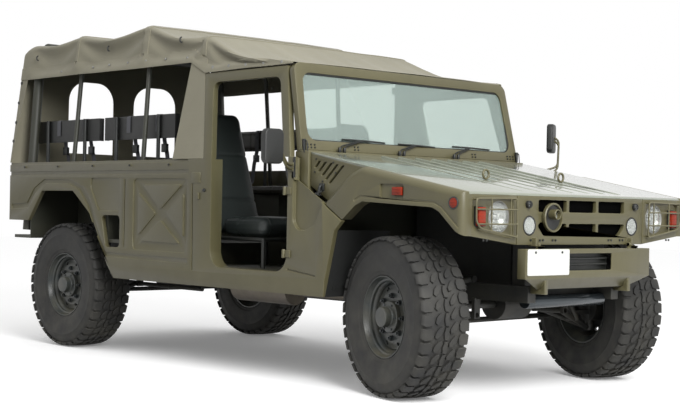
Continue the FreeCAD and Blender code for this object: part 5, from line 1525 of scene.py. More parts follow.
@dataclass
class Canopy:
    """The canvas top: one sheet from belt to belt over its bows, and the rear curtain."""

    belt: float = BELT
    base_half: float = BODY_HALF
    lean: float = 0.1289
    rear_bottom: float = BODY_REAR
    rear_lean: float = 0.004
    window_front_top: float = -0.100
    window_front_bottom: float = -0.185
    strip_front: float = 0.0625
    strip_foot: float = 0.1525
    header: float = 0.937
    crown: float = 0.006
    corner: float = 0.055
    hem_rear: float = 2.052
    hem_front: float = 2.044
    hem_cab: float = 1.966
    columns: Sequence[int] = (3, 64, 8, 30)
    rows: Sequence[int] = (14, 12, 6, 22)
    thickness: float = 0.0022
    slack: float = 0.005
    frames: int = 26
    ripple: float = 0.004
    ripple_scale: float = 3.1
    hem_width: float = 0.092
    cab_hem_width: float = 0.060
    strip_half: float = 0.020
    band_height: float = 0.005
    crest: Sequence[Point] = (
        (-2.330, 2.285), (-2.285, 2.312), (-2.230, 2.326), (-2.079, 2.331), (-1.860, 2.327),
        (-1.717, 2.336), (-1.550, 2.349), (-1.306, 2.334), (-1.135, 2.330), (-0.919, 2.341),
        (-0.734, 2.352), (-0.649, 2.349), (-0.553, 2.328), (-0.284, 2.264), (-0.093, 2.232),
        (0.027, 2.222), (0.178, 2.176), (0.335, 2.130), (0.558, 2.075), (0.734, 2.030),
        (0.937, 1.984),
    )
    ridges: Sequence[float] = (-2.205, -1.550, -0.668, 0.027)
    hem_studs: Sequence[Point] = (
        (-1.738, 2.087), (-1.541, 2.091), (-1.306, 2.093), (-1.094, 2.096), (-0.859, 2.096),
        (-0.635, 2.096), (-0.403, 2.092), (-0.154, 2.084),
    )
    cab_studs: Sequence[Point] = (
        (0.139, 1.998), (0.307, 1.996), (0.481, 1.993), (0.658, 1.992), (0.832, 1.988),
    )
    hooks: Sequence[Point] = ((-2.107, 2.215), (-1.121, 2.217), (-0.243, 2.212))
    eyelets: Sequence[Point] = ((-2.312, 2.028), (-2.316, 1.870), (-2.318, 1.712), (-2.320, 1.564))

    def side_y(self, height: float) -> float:
        """How far out the leaning side is at a height."""
        return self.base_half - self.lean * (height - self.belt)

    def roof(self, x: float) -> float:
        """Height of the roof's edge at a station."""
        places, heights = zip(*self.crest)
        return float(np.interp(x, places, heights))

    def hem(self, x: float) -> float:
        """Height of the lower hem at a station."""
        if x <= self.window_front_top:
            share = (x - self.rear_bottom) / (self.window_front_top - self.rear_bottom)
            return self.hem_rear + (self.hem_front - self.hem_rear) * share
        if x <= self.strip_front:
            share = (x - self.window_front_top) / (self.strip_front - self.window_front_top)
            return self.hem_front + (self.hem_cab - self.hem_front) * share
        share = (x - self.strip_front) / (self.header - self.strip_front)
        return self.hem_cab + 0.006 * share

    def stations(self, height: float) -> list[float]:
        """The columns' places along the vehicle at a height on the side."""
        above = height - self.belt
        share = min(1.0, max(0.0, above / (self.hem_rear - self.belt)))
        rear = self.rear_bottom + self.rear_lean * above / (self.roof(-2.25) - self.belt)
        window_rear = self.rear_bottom + 0.010 + 0.092 * share
        sweep = self.window_front_top - self.window_front_bottom
        window_front = self.window_front_bottom + sweep * share
        rise = min(1.0, max(0.0, above / (self.hem_cab - self.belt)))
        strip = self.strip_foot + (self.strip_front - self.strip_foot) * rise
        keys = (rear, max(window_rear, rear + 0.004), window_front, strip, self.header)
        places = [keys[0]]
        for start, end, count in zip(keys, keys[1:], self.columns):
            places += [start + (end - start) * (i + 1) / count for i in range(count)]
        return places

    def grid(self) -> tuple[np.ndarray, list[int], list[int]]:
        """Works out the sheet's points, and the column and row where each part starts.

        Returns:
            The points by row and column, the key columns and the key rows.
        """
        low, side, arc, half = self.rows
        levels = self.stations(self.belt)
        count = len(levels)
        total = low + side + arc + half
        points = np.zeros((2 * total + 1, count, 3))
        for row in range(total + 1):
            for column in range(count):
                points[row, column] = self.point(row, column)
        for row in range(total):
            points[2 * total - row] = points[row] * (1, -1, 1)
        starts = np.cumsum((0, *self.columns)).tolist()
        return points, starts, [low, low + side, low + side + arc, total]

    def point(self, row: int, column: int) -> tuple[float, float, float]:
        """One point of the sheet's right half, before it sags."""
        low, side, arc, half = self.rows
        top_x = self.stations(self.hem_rear)[column]
        hem, roof = self.hem(top_x), self.roof(top_x)
        corner = min(self.corner, (roof - hem) * 0.7)
        if row <= low:
            height = self.belt + (hem - self.belt) * row / low
            x = self.stations(height)[column]
            return x, -self.side_y(height), height
        if row <= low + side:
            height = hem + (roof - corner - hem) * (row - low) / side
            return self.stations(height)[column], -self.side_y(height), height
        edge_y = self.side_y(roof - corner)
        x = self.stations(roof)[column]
        if row <= low + side + arc:
            turn = math.pi / 2 * (row - low - side) / arc
            y = edge_y - corner * (1 - math.cos(turn))
            return x, -y, roof - corner + corner * math.sin(turn)
        share = (row - low - side - arc) / half
        y = (edge_y - corner) * (1 - share)
        return x, -y, roof + self.crown * (1 - (1 - share) ** 2)

    def sheet(self) -> bpy.types.Object:
        """The flat grid, bent to its points, with the window and door gaps taken out."""
        points, starts, keys = self.grid()
        rows, columns = points.shape[:2]
        Shop.clear()
        bpy.ops.mesh.primitive_grid_add(x_subdivisions=columns - 1, y_subdivisions=rows - 1, size=1)
        cloth = Shop.named("canopy_sheet")
        cloth.data.vertices.foreach_set("co", points.reshape(-1, 3).ravel())
        Shop.edit(cloth, "FACE")
        Shop.done()
        low, last = keys[0], rows - 1
        for face in cloth.data.polygons:
            row, column = divmod(min(face.vertices), columns)
            below = row < low or row >= last - low
            in_window = starts[1] <= column < starts[2]
            in_cab = column >= starts[3]
            face.select = below and (in_window or in_cab)
        bpy.ops.object.mode_set(mode="EDIT")
        bpy.ops.mesh.delete(type="FACE")
        Shop.done()
        return cloth

    def held(self, place: Vector) -> bool:
        """Whether the canvas is fixed at a point: on a bow, a hem or the header."""
        on_bow = any(abs(place.x - x) < 0.022 for x in self.ridges) and place.z > 2.16
        at_hem = abs(place.y) > self.side_y(self.hem(place.x) + 0.030)
        at_end = place.x > self.header - 0.03 or place.x < self.rear_bottom + 0.075
        return on_bow or at_hem or at_end

    def sagged(self, cloth: bpy.types.Object) -> None:
        """Lets the canvas settle with a little spare cloth, so that it folds between its bows."""
        group = cloth.vertex_groups.new(name="held")
        fixed = [v.index for v in cloth.data.vertices if self.held(v.co)]
        group.add(fixed, 1.0, "REPLACE")
        for vertex in cloth.data.vertices:
            vertex.co.z += self.ripple * noise.noise(vertex.co * self.ripple_scale)
        Shop.settled(
            cloth, self.frames, quality=6, mass=0.35, tension_stiffness=25,
            compression_stiffness=20, shear_stiffness=12, bending_stiffness=4.0, air_damping=3.0,
            vertex_group_mass="held", shrink_min=-self.slack,
        )

    def build(self) -> None:
        """Makes the sheet, its hems and fittings and the rear curtain."""
        cloth = self.sheet()
        self.sagged(cloth)
        self.banded(cloth)
        Shop.modified(cloth, "SOLIDIFY", thickness=self.thickness, offset=-1.0, material_offset=1,
                      material_offset_rim=0)
        Shop.smooth(cloth, 42)
        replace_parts(cloth, "canopy")
        dress(cloth, CANVAS, Body.ROOT)
        # The inner face gets the near-black canvas as painted shade.
        cloth.data.materials.append(CANVAS_PAINTED_SHADE.material())
        self.fittings()
        curtain = self.curtain()

    def banded(self, cloth: bpy.types.Object) -> None:
        """Raises the sewn hems and the doubled strips over the bows by a cloth's thickness."""
        for face in cloth.data.polygons:
            x, y, z = face.center
            above = z - self.hem(x)
            on_side = abs(y) > self.side_y(z) - 0.030
            width = self.hem_width if x < self.strip_front else self.cab_hem_width
            strip = any(abs(x - ridge) < self.strip_half for ridge in self.ridges[1:])
            face.select = on_side and 0.0 < above < width or strip and above > 0.10
        bpy.ops.object.mode_set(mode="EDIT")
        bpy.ops.mesh.extrude_region_shrink_fatten(
            TRANSFORM_OT_shrink_fatten={"value": self.band_height}
        )
        Shop.done()

    def fittings(self) -> None:
        """Press studs along the hems, the straps' hooks and the rear eyelets."""
        studs, hooks = [], []
        for side in Side:
            for x, z, radius in (*((x, z, 0.008) for x, z in self.hem_studs),
                                 *((x, z, 0.012) for x, z in self.cab_studs)):
                y = side.value * (self.side_y(z) + 0.001)
                studs.append(Shop.turned("stud", (
                    (0.0, -0.004), (radius, -0.004), (radius, 0.003), (radius * 0.7, 0.006),
                    (0.0, 0.007),
                ), (x, y, z), (0, side.value, 0), 16))
            for x, z in self.hooks:
                y, out = side.value * (self.side_y(z) + 0.004), side.value
                route = ((x, y, z + 0.020), (x, y + out * 0.012, z + 0.012),
                         (x + 0.004, y + out * 0.014, z - 0.014),
                         (x + 0.016, y + out * 0.006, z - 0.018))
                hooks.append(Shop.pipe("hook", route, 0.005, 0.01))
            for x, z in self.eyelets:
                y = side.value * (self.side_y(z) + 0.003)
                hooks.append(Shop.torus("eyelet", (x, y, z), (0, 1, 0), 0.010, 0.003, 20, 8))
        dress(Shop.joined("canopy_studs", studs), STEEL, Body.ROOT)
        dress(Shop.joined("canopy_hooks", hooks), BLACK_METAL, Body.ROOT)

    def curtain(self) -> bpy.types.Object:
        """The rear curtain with its two arched windows."""
        low, high = self.belt, self.roof(-2.25) - 0.004
        half = self.side_y(low) - 0.004
        top_half = self.side_y(high) - 0.050
        outline = [(-half, low), (half, low), (top_half + 0.02, high - 0.05),
                   (top_half - 0.03, high), (-top_half + 0.03, high),
                   (-top_half - 0.02, high - 0.05)]
        sheet = Shop.plate("canopy_curtain", Plane.YZ, outline, 0.0, self.thickness)
        for side in Side:
            outline = self.arched(side.value * 0.325, 0.22)
            Shop.cut(sheet, Shop.plate("window", Plane.YZ, outline, -0.05, 0.05))
        levels = [(2, float(level)) for level in np.arange(low + 0.04, high, 0.05)]
        places = [(1, float(place)) for place in np.arange(-1.05, 1.06, 0.07)]
        Shop.sliced(sheet, levels + places)
        for vertex in sheet.data.vertices:
            share = (vertex.co.z - low) / (high - low)
            wave = 0.010 * noise.noise(Vector((0, vertex.co.y * 3, vertex.co.z * 1.3)))
            vertex.co.x += self.rear_bottom + 0.004 + self.rear_lean * share + abs(wave)
        sheet.data.materials.clear()
        Shop.smooth(sheet, 50)
        return dress(sheet, CANVAS, Body.ROOT)

    @staticmethod
    def arched(centre: float, half: float, low: float = 1.490, high: float = 2.080,
               round_radius: float = 0.16) -> list[Point]:
        """Outline of a rear window: square at the foot and rounded at the top."""
        outline = [(centre - half, low), (centre + half, low)]
        for sign in (1, -1):
            for step in range(9):
                turn = math.pi / 2 * step / 8
                turn = turn if sign > 0 else math.pi / 2 - turn
                reach = half - round_radius + round_radius * math.cos(turn)
                outline.append((centre + sign * reach,
                                high - round_radius + round_radius * math.sin(turn)))
        return outline


@dataclass
class Pad:
    """A stuffed pad: a crowned closed form, swollen by a short cloth run, then sewn through."""

    width: float
    length: float
    thickness: float
    taper: float = 0.0
    corner: float = 0.045
    crown: float = 0.012
    pull: float = 0.012
    voxel: float = 0.007
    cap: float = 0.010
    pressure: float = 4.0
    frames: int = 20
    across: Sequence[float] = ()
    along: Sequence[float] = ()
    sewn: float = 0.006
    sewn_width: float = 0.008

    def outline(self) -> list[Point]:
        """Rounded outline, narrower towards its far end by the taper."""
        half, reach = self.width / 2, self.length / 2
        corners = []
        for x_sign, y_sign in ((1, -1), (1, 1), (-1, 1), (-1, -1)):
            x_centre, y_centre = x_sign * (half - self.corner), y_sign * (reach - self.corner)
            start = math.atan2(y_sign, x_sign) - math.pi / 4
            for step in range(7):
                turn = start + math.pi / 2 * step / 6
                corners.append((x_centre + self.corner * math.cos(turn),
                                y_centre + self.corner * math.sin(turn)))
        return [(x * (1 - self.taper * (y / self.length + 0.5)), y) for x, y in corners]

    def form(self, name: str) -> bpy.types.Object:
        """The pad's closed form with its middle at the origin, its face up."""
        half = self.thickness / 2
        pad = Shop.plate(name, Plane.XY, self.outline(), -half, half)
        Shop.modified(pad, "BEVEL", width=half * 0.8, segments=4, limit_method="ANGLE",
                      angle_limit=math.radians(50))
        Shop.modified(pad, "REMESH", mode="VOXEL", voxel_size=self.voxel)
        for vertex in pad.data.vertices:
            x, y, z = vertex.co
            across, along = 2 * x / self.width, 2 * y / self.length
            middle, between = max(0.0, 1 - across ** 2), max(0.0, 1 - along ** 2)
            lift = math.copysign(self.crown, z) * (middle * between)
            vertex.co.z += lift * min(1.0, abs(z) / half * 1.5)
            vertex.co.x -= math.copysign(self.pull, x) * between * abs(across) ** 6
            vertex.co.y -= math.copysign(self.pull, y) * middle * abs(along) ** 6
        return pad

    def swollen(self, pad: bpy.types.Object) -> None:
        """Blows the pad up as cloth for a few frames and holds each point within the cap."""
        before = np.array([v.co for v in pad.data.vertices])
        Shop.settled(
            pad, self.frames, 0.0, quality=5, mass=0.3, tension_stiffness=20,
            compression_stiffness=20, shear_stiffness=10, bending_stiffness=1.0,
            use_pressure=True, uniform_pressure_force=self.pressure,
        )
        after = np.array([v.co for v in pad.data.vertices])
        moved = after - before
        moved -= moved.mean(axis=0)
        length = np.linalg.norm(moved, axis=1, keepdims=True)
        moved *= np.minimum(1.0, self.cap / np.maximum(length, 1e-9))
        pad.data.vertices.foreach_set("co", (before + moved).ravel())

    def seamed(self, pad: bpy.types.Object) -> None:
        """Presses the sewn channels in: some run across, at places on Y, some along."""
        pad.data.update()
        normals = [v.normal.copy() for v in pad.data.vertices]
        for vertex, normal in zip(pad.data.vertices, normals):
            depth = 0.0
            for axis, places in ((1, self.across), (0, self.along)):
                for place in places:
                    gap = (vertex.co[axis] - place) / self.sewn_width
                    depth = max(depth, self.sewn * math.exp(-gap * gap))
            if depth > 1e-5 and abs(normal.z) > 0.2:
                vertex.co -= normal * depth
        rim = self.thickness * 0.02
        for vertex, normal in zip(pad.data.vertices, normals):
            near = abs(abs(vertex.co.z) - self.thickness * 0.30) < rim + 0.002
            if near and abs(normal.z) < 0.75:
                vertex.co -= normal * self.sewn * 0.4

    def made(self, name: str) -> bpy.types.Object:
        """The finished pad about the origin."""
        pad = self.form(name)
        self.swollen(pad)
        self.seamed(pad)
        return Shop.smooth(pad, 65)


@dataclass
class FrontSeats:
    """The two front seats: tapering backs and deep cushions on their frames."""

    place: float = 0.640
    cushion_rear: float = 0.066
    cushion_front: float = 0.540
    cushion_low: float = 0.882
    cushion_top: float = 1.008
    back_foot: Point = (0.034, 0.888)
    back_length: float = 0.890
    back_lean: float = 14.5
    back_thickness: float = 0.090
    width: float = 0.462

    def build(self) -> None:
        """Makes one seat's pads and sets them on both sides."""
        cushion = Pad(self.width - 0.012, self.cushion_front - self.cushion_rear - 0.012,
                      self.cushion_top - self.cushion_low - 0.022, corner=0.06, crown=0.010,
                      pull=0.006, voxel=0.009, across=(-0.06,),
                      along=(-0.145, 0.145)).made("cushion")
        back = Pad(self.width - 0.012, self.back_length - 0.014, self.back_thickness - 0.020,
                   taper=0.30, corner=0.07, crown=0.008, pull=0.006, voxel=0.009,
                   across=(-0.20, 0.12)).made("back")
        lean = math.radians(self.back_lean)
        middle = Vector((self.back_foot[0], 0, self.back_foot[1])) + Vector(
            (-math.sin(lean), 0, math.cos(lean))) * self.back_length / 2
        middle += Vector((-math.cos(lean), 0, -math.sin(lean))) * self.back_thickness / 2
        upright = Matrix.Rotation(-lean, 4, "Y") @ Matrix(
            ((0, 0, 1, 0), (1, 0, 0, 0), (0, 1, 0, 0), (0, 0, 0, 1)))
        flat = Matrix(((0, 1, 0, 0), (1, 0, 0, 0), (0, 0, -1, 0), (0, 0, 0, 1)))
        seats = []
        for side in Side:
            y = side.value * self.place
            low = Vector(((self.cushion_rear + self.cushion_front) / 2, y,
                          (self.cushion_low + self.cushion_top) / 2))
            seat = Shop.copied(cushion, f"seat_cushion_{side.word}", Matrix.Translation(low) @ flat)
            seats.append(Shop.outward(seat))
            place = Matrix.Translation(middle + Vector((0, y, 0))) @ upright
            seats.append(Shop.copied(back, f"seat_back_{side.word}", place))
        for pad in (cushion, back):
            bpy.data.objects.remove(pad)
        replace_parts(seats[0], "front_seats")
        for seat in seats:
            Shop.smooth(seat, 65)
            dress(seat, VINYL, Body.ROOT)


@dataclass
class Benches:
    """The side benches: four cushions and four slim padded backs with metal ends and belts."""

    fronts: Sequence[float] = (-0.405, -1.345)
    length: float = 0.870
    back_y: Point = (0.846, 0.892)
    back_z: Point = (1.550, 1.720)
    cushion_y: Point = (0.492, 0.892)
    cushion_z: Point = (1.180, 1.250)
    belt_places: Sequence[float] = (0.23, 0.64)
    belt_width: float = 0.046
    belt_thickness: float = 0.0028
    buckle: Point = (1.455, 1.515)

    def build(self) -> None:
        """Makes one back and one cushion, copies them, and hangs the belts."""
        seams = (-0.145, 0.145)
        back = Pad(self.length - 0.016, self.back_z[1] - self.back_z[0] - 0.010, 0.030,
                   corner=0.020, crown=0.003, pull=0.002, voxel=0.0065, cap=0.005, along=seams,
                   sewn=0.004).made("back")
        cushion = Pad(self.length - 0.014, self.cushion_y[1] - self.cushion_y[0] - 0.020, 0.052,
                      corner=0.030, crown=0.006, pull=0.003, voxel=0.010, cap=0.006,
                      along=seams).made("cushion")
        upright = Matrix(((1, 0, 0, 0), (0, 0, -1, 0), (0, 1, 0, 0), (0, 0, 0, 1)))
        pads = []
        for side in Side:
            for index, front in enumerate(self.fronts):
                x = front - self.length / 2
                tag = f"{side.word}_{index + 1}"
                spot = Vector((x, side.value * (self.back_y[0] + 0.018), sum(self.back_z) / 2))
                place = Matrix.Translation(spot) @ upright
                pads.append(Shop.copied(back, f"bench_back_{tag}", place))
                spot = Vector((x, side.value * sum(self.cushion_y) / 2, sum(self.cushion_z) / 2))
                place = Matrix.Translation(spot)
                pads.append(Shop.copied(cushion, f"bench_cushion_{tag}", place))
                self.metal(side, front, tag)
                self.belts(side, front, tag)
        for pad in (back, cushion):
            bpy.data.objects.remove(pad)
        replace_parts(pads[0], "bench_seats")
        for pad in pads:
            Shop.smooth(pad, 65)
            dress(pad, VINYL_BROWN, Body.ROOT)

    def metal(self, side: Side, front: float, tag: str) -> None:
        """The pressed plate behind a back and its folded ends."""
        outer, inner = self.back_y[1] - 0.001, self.back_y[1] - 0.008
        low, high = self.back_z
        plates = [Shop.box("plate", *Shop.ordered(side, (front - self.length, inner, low),
                                                 (front, outer, high)), edge=0.0015)]
        for x in (front - self.length, front - 0.004):
            plates.append(Shop.box("end", *Shop.ordered(
                side, (x, self.back_y[0] + 0.004, low), (x + 0.004, outer, high)), edge=0.001))
        for share in (0.2, 0.8):
            x = front - self.length * share
            for z in (low + 0.035, high - 0.035):
                plates.append(Shop.pin("bolt", side, (x, z), (outer, outer + 0.006), 0.008, 8))
        dress(Shop.joined(f"bench_plate_{tag}", plates), BLACK, Body.ROOT)

    def belts(self, side: Side, front: float, tag: str) -> None:
        """Lap belts laid over a back, down its face and along the cushion, with their buckles."""
        straps, buckles = [], []
        top, low = self.back_z[1] + 0.002, self.cushion_z[1] + 0.012
        for share in self.belt_places:
            x = front - self.length * share
            face = self.back_y[0] - 0.010
            route = [(self.back_y[1] + 0.004, 1.60), (self.back_y[1] + 0.004, top), (face, top),
                     (face - 0.002, 1.545), (face - 0.030, 1.44), (face - 0.050, low + 0.02),
                     (face - 0.080, low), (face - 0.26, low + 0.003)]
            straps.append(self.strap(side, x, route))
            foot, head = self.buckle
            buckles.append(Shop.box("buckle", *Shop.ordered(
                side, (x - 0.030, face - 0.020, foot), (x + 0.030, face + 0.004, head)),
                edge=0.004))
        dress(Shop.joined(f"bench_belts_{tag}", straps), WEBBING, Body.ROOT)
        dress(Shop.joined(f"bench_buckles_{tag}", buckles), BLACK_METAL, Body.ROOT)

    def strap(self, side: Side, x: float, route: Sequence[Point]) -> bpy.types.Object:
        """A flat strap whose path is drawn in the YZ plane."""
        path = [Vector((0, y * side.value, z)) for y, z in route]
        path = Shop.rounded(path, 0.02)
        near, far = [], []
        for index, place in enumerate(path):
            ahead = path[min(index + 1, len(path) - 1)] - path[max(index - 1, 0)]
            ahead = ahead.normalized() if ahead.length else Vector((0, 0, 1))
            aside = Vector((0, -ahead.z, ahead.y)) * self.belt_thickness / 2
            near.append((place.y + aside.y, place.z + aside.z))
            far.append((place.y - aside.y, place.z - aside.z))
        outline = near + far[::-1]
        return Shop.smooth(Shop.plate("strap", Plane.YZ, outline, x - self.belt_width / 2,
                                      x + self.belt_width / 2), 50)


@dataclass
class Lamps:
    """Lamps on the nose and the fenders, and the rear lamps."""

    nose: float = NOSE
    headlamp: Point = (0.748, 1.049)
    headlamp_radius: float = 0.088
    fog: Point = (0.494, 1.003)
    fog_radius: float = 0.056
    fog_sink: float = 0.030
    marker: Point = (0.514, 1.123)
    marker_cross: Point = (0.018, 0.002)
    blackout: Point = (-0.307, 1.050)
    blackout_radius: float = 0.084
    tube_lift: float = 0.018
    indicator: Point = (0.925, 1.049)
    indicator_lens: Sequence[float] = (0.029, 0.053, 0.036)
    indicator_foot: Sequence[float] = (0.033, 0.058, 0.012)
    guard: Sequence[Point] = (
        (0.984, 1.147), (0.639, 1.153), (0.632, 0.937), (0.946, 0.985), (0.982, 1.024),
    )
    guard_front: float = 2.420
    guard_inner: float = 0.636
    guard_top: float = 1.149
    guard_rods: Sequence[float] = (0.0052, 0.0042, 0.0048)
    cross_wires: Sequence[Point] = ((1.010, 0.968), (1.090, 0.984))
    upright_wires: Point = (0.855, 0.690)
    guard_low: Sequence[Point] = ((0.632, 0.937), (0.946, 0.985))
    guard_feet: Sequence[Point] = ((0.972, 1.143), (0.650, 1.148), (0.645, 0.944), (0.940, 0.988))
    skin: float = 1.076
    side_lamp: Sequence[float] = (1.8725, 1.9505, 1.158, 1.206)
    reflector: Point = (2.3325, 1.121)
    reflector_radius: float = 0.032
    rear_place: float = 0.951
    rear_box: Sequence[float] = (-2.352, -2.3295, 0.044, 1.030, 1.198)
    rear_red: Sequence[float] = (-2.366, -2.350, 0.038, 1.118, 1.192)
    rear_amber: Sequence[float] = (-2.366, -2.350, 0.038, 1.037, 1.112)

    def spun(self, name: str, profile: Sequence[Point], y: float, z: float, steps: int = 64,
             sink: float = 0.0) -> bpy.types.Object:
        """A profile spun about an axis that points ahead from the nose.

        Args:
            name: the piece's name.
            profile: (radius, place ahead of the nose) corners in order.
            y: the axis's place across.
            z: the axis's height.
            steps: faces round the axis.
            sink: how far behind the nose the profile starts.

        Returns:
            The new object.
        """
        return Shop.turned(name, profile, (self.nose - sink, y, z), (1, 0, 0), steps)

    def build(self) -> None:
        """Makes each lamp and hides the packed lamps that it stands for."""
        bowls, glasses, rims, dark, ambers, painted = [], [], [], [], [], []
        for side in Side:
            self.head(side, bowls, glasses, rims)
            self.foglamp(side, glasses, dark, bowls)
            self.front_marker(side, dark, glasses)
            self.indicators(side, ambers, dark)
            self.guards(side)
        self.hooded(painted, dark, glasses)
        dress(Shop.joined("lamp_blackout", painted), OLIVE, Body.HOOD)
        bowl = dress(Shop.joined("lamp_bowls", bowls), SILVER, Body.HOOD)
        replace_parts(bowl, "headlamps")
        dress(Shop.joined("lamp_glasses", glasses), LAMP_GLASS, Body.HOOD)
        dress(Shop.joined("lamp_rims", rims), STEEL, Body.HOOD)
        bodies = dress(Shop.joined("lamp_bodies", dark), BLACK, Body.HOOD)
        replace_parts(bodies, "front_lamps")
        amber = dress(Shop.joined("lamp_ambers", ambers), AMBER, Body.HOOD)
        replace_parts(amber, "amber_lamps")
        self.rear()

    def head(self, side: Side, bowls: list, glasses: list, rims: list) -> None:
        """A round headlamp: silver bowl, bulb shield, domed fluted glass and its ring."""
        y, z = side.value * self.headlamp[0], self.headlamp[1]
        radius = self.headlamp_radius
        bowls.append(self.spun("bowl", (
            (0.0, -0.066), (0.030, -0.062), (0.055, -0.050), (0.074, -0.032),
            (radius - 0.006, -0.018), (radius - 0.003, -0.018), (0.076, -0.036),
            (0.056, -0.055), (0.030, -0.067), (0.0, -0.071),
        ), y, z))
        bowls.append(self.spun("shield", (
            (0.0, -0.028), (0.012, -0.030), (0.017, -0.036), (0.017, -0.055), (0.0, -0.055),
        ), y, z, 24))
        glasses.append(self.spun("lens", (
            (0.0, -0.006), (0.030, -0.008), (0.060, -0.013), (radius - 0.006, -0.019),
            (radius - 0.006, -0.022), (0.060, -0.017), (0.030, -0.012), (0.0, -0.010),
        ), y, z))
        rims.append(self.spun("ring", (
            (radius - 0.007, -0.016), (radius - 0.004, -0.011), (radius + 0.001, -0.012),
            (radius + 0.006, -0.020), (radius + 0.006, -0.040), (radius - 0.002, -0.040),
            (radius - 0.003, -0.022),
        ), y, z))

    def foglamp(self, side: Side, glasses: list, dark: list, bowls: list) -> None:
        """A round auxiliary lamp with a dark rim, sunk in its hole of the nose."""
        y, z = side.value * self.fog[0], self.fog[1]
        radius, sink = self.fog_radius, self.fog_sink
        dark.append(self.spun("fog", (
            (0.0, 0.003), (0.020, 0.003), (radius - 0.014, 0.006), (radius - 0.002, 0.014),
            (radius, 0.020), (radius, 0.032), (radius - 0.003, 0.034), (radius - 0.008, 0.032),
            (radius - 0.009, 0.026), (0.0, 0.022),
        ), y, z, 48, sink))
        bowls.append(self.spun("fog_bowl", (
            (0.0, 0.0225), (radius - 0.0095, 0.0265), (radius - 0.0095, 0.0275), (0.0, 0.0245),
        ), y, z, 40, sink))
        glasses.append(self.spun("fog_lens", (
            (0.0, 0.0335), (0.025, 0.0325), (radius - 0.009, 0.0300), (radius - 0.009, 0.0285),
            (0.025, 0.0300), (0.0, 0.0305),
        ), y, z, 48, sink))

    def front_marker(self, side: Side, dark: list, glasses: list) -> None:
        """The small blackout marker, a capsule with a crossed grille."""
        y, z = side.value * self.marker[0], self.marker[1]
        dark.append(self.spun("marker", (
            (0.0, 0.001), (0.021, 0.001), (0.021, 0.018), (0.019, 0.021), (0.015, 0.021),
            (0.014, 0.016), (0.0, 0.015),
        ), y, z, 32))
        glasses.append(self.spun("marker_lens", (
            (0.0, 0.0185), (0.0135, 0.0175), (0.0135, 0.0165), (0.0, 0.0160),
        ), y, z, 24))
        front, cross = self.nose + 0.0215, self.marker_cross
        for wide, tall in (cross, cross[::-1]):
            dark.append(Shop.box("cross", (front - 0.0015, y - wide, z - tall),
                                 (front + 0.0010, y + wide, z + tall), 0))

    def indicators(self, side: Side, ambers: list, dark: list) -> None:
        """The amber indicator in the lamp bay, the side lamp and the round reflector."""
        y, z = side.value * self.indicator[0], self.indicator[1]
        floor = self.nose - 0.0135
        rows = ((ambers, "indicator", self.indicator_lens, 0.006),
                (dark, "indicator_foot", self.indicator_foot, 0.003))
        for pieces, name, (wide, tall, out), edge in rows:
            pieces.append(Shop.box(name, (floor, y - wide, z - tall),
                                   (floor + out, y + wide, z + tall), edge))
        start, end, low, high = self.side_lamp
        ends = sorted((side.value * (self.skin - 0.0195), side.value * self.skin))
        ambers.append(Shop.box("side_lamp", (start, ends[0], low), (end, ends[1], high), 0.006))
        ambers.append(Shop.pin("side_lamp_boss", side, (end - 0.024, (low + high) / 2),
                               (self.skin - 0.002, self.skin + 0.0015), 0.011))
        x, z = self.reflector
        ambers.append(Shop.pin("reflector", side, (x, z), (self.skin - 0.012, self.skin - 0.001),
                               self.reflector_radius - 0.005, 32, 0.0015))
        dark.append(Shop.torus("reflector_rim", (x, side.value * (self.skin - 0.005), z),
                               (0, 1, 0), self.reflector_radius - 0.001, 0.0045))

    def guards(self, side: Side) -> None:
        """The wire guard over a lamp bay: a bent frame, cross wires and its feet."""
        bend, wire, foot = self.guard_rods
        outline = [Vector((self.guard_front, side.value * y, z)) for y, z in self.guard]
        frame_rods = [Shop.pipe("frame", outline, bend, 0.020, 2, closed=True)]
        for z, outer in self.cross_wires:
            ends = [(self.guard_front + 0.004, side.value * y, z)
                    for y in (outer, self.guard_inner)]
            frame_rods.append(Shop.rod("wire", *ends, wire, sides=10))
        (near, near_low), (far, far_low) = self.guard_low
        for y in self.upright_wires:
            low = near_low + (y - near) / (far - near) * (far_low - near_low)
            ends = [(self.guard_front, side.value * y, z) for z in (low, self.guard_top)]
            frame_rods.append(Shop.rod("wire", *ends, wire, sides=10))
        for y, z in self.guard_feet:
            y *= side.value
            frame_rods.append(Shop.rod("foot", (self.nose - 0.016, y, z),
                                       (self.guard_front + 0.002, y, z), foot, sides=10))
        guard = Shop.joined(f"lamp_guard_{side.word}", frame_rods)
        dress(guard, OLIVE, Body.HOOD)

    def hooded(self, painted: list, dark: list, glasses: list) -> None:
        """The blackout driving lamp: an open housing, dark inside, with a tube-shaped hood."""
        y, z = self.blackout
        radius = self.blackout_radius
        painted.append(self.spun("blackout", (
            (radius - 0.012, 0.002), (radius - 0.002, 0.006), (radius, 0.014), (radius, 0.026),
            (radius - 0.004, 0.030), (radius - 0.010, 0.028), (radius - 0.011, 0.006),
        ), y, z, 64))
        dark.append(self.spun("blackout_well", (
            (0.0, 0.003), (radius - 0.010, 0.003), (radius - 0.010, 0.014), (0.050, 0.009),
            (0.0, 0.008),
        ), y, z, 48))
        painted.append(self.spun("blackout_tube", (
            (0.030, 0.006), (0.030, 0.054), (0.028, 0.057), (0.0245, 0.057), (0.0235, 0.053),
            (0.0235, 0.006),
        ), y, z + self.tube_lift, 40))
        painted.append(Shop.box("blackout_bar", (self.nose + 0.008, y - 0.010, z - 0.004),
                                (self.nose + 0.022, y + 0.075, z + 0.034), 0.005))
        glasses.append(self.spun("blackout_lens", (
            (0.0, 0.030), (0.023, 0.030), (0.023, 0.0265), (0.0, 0.0265),
        ), y, z + self.tube_lift, 32))

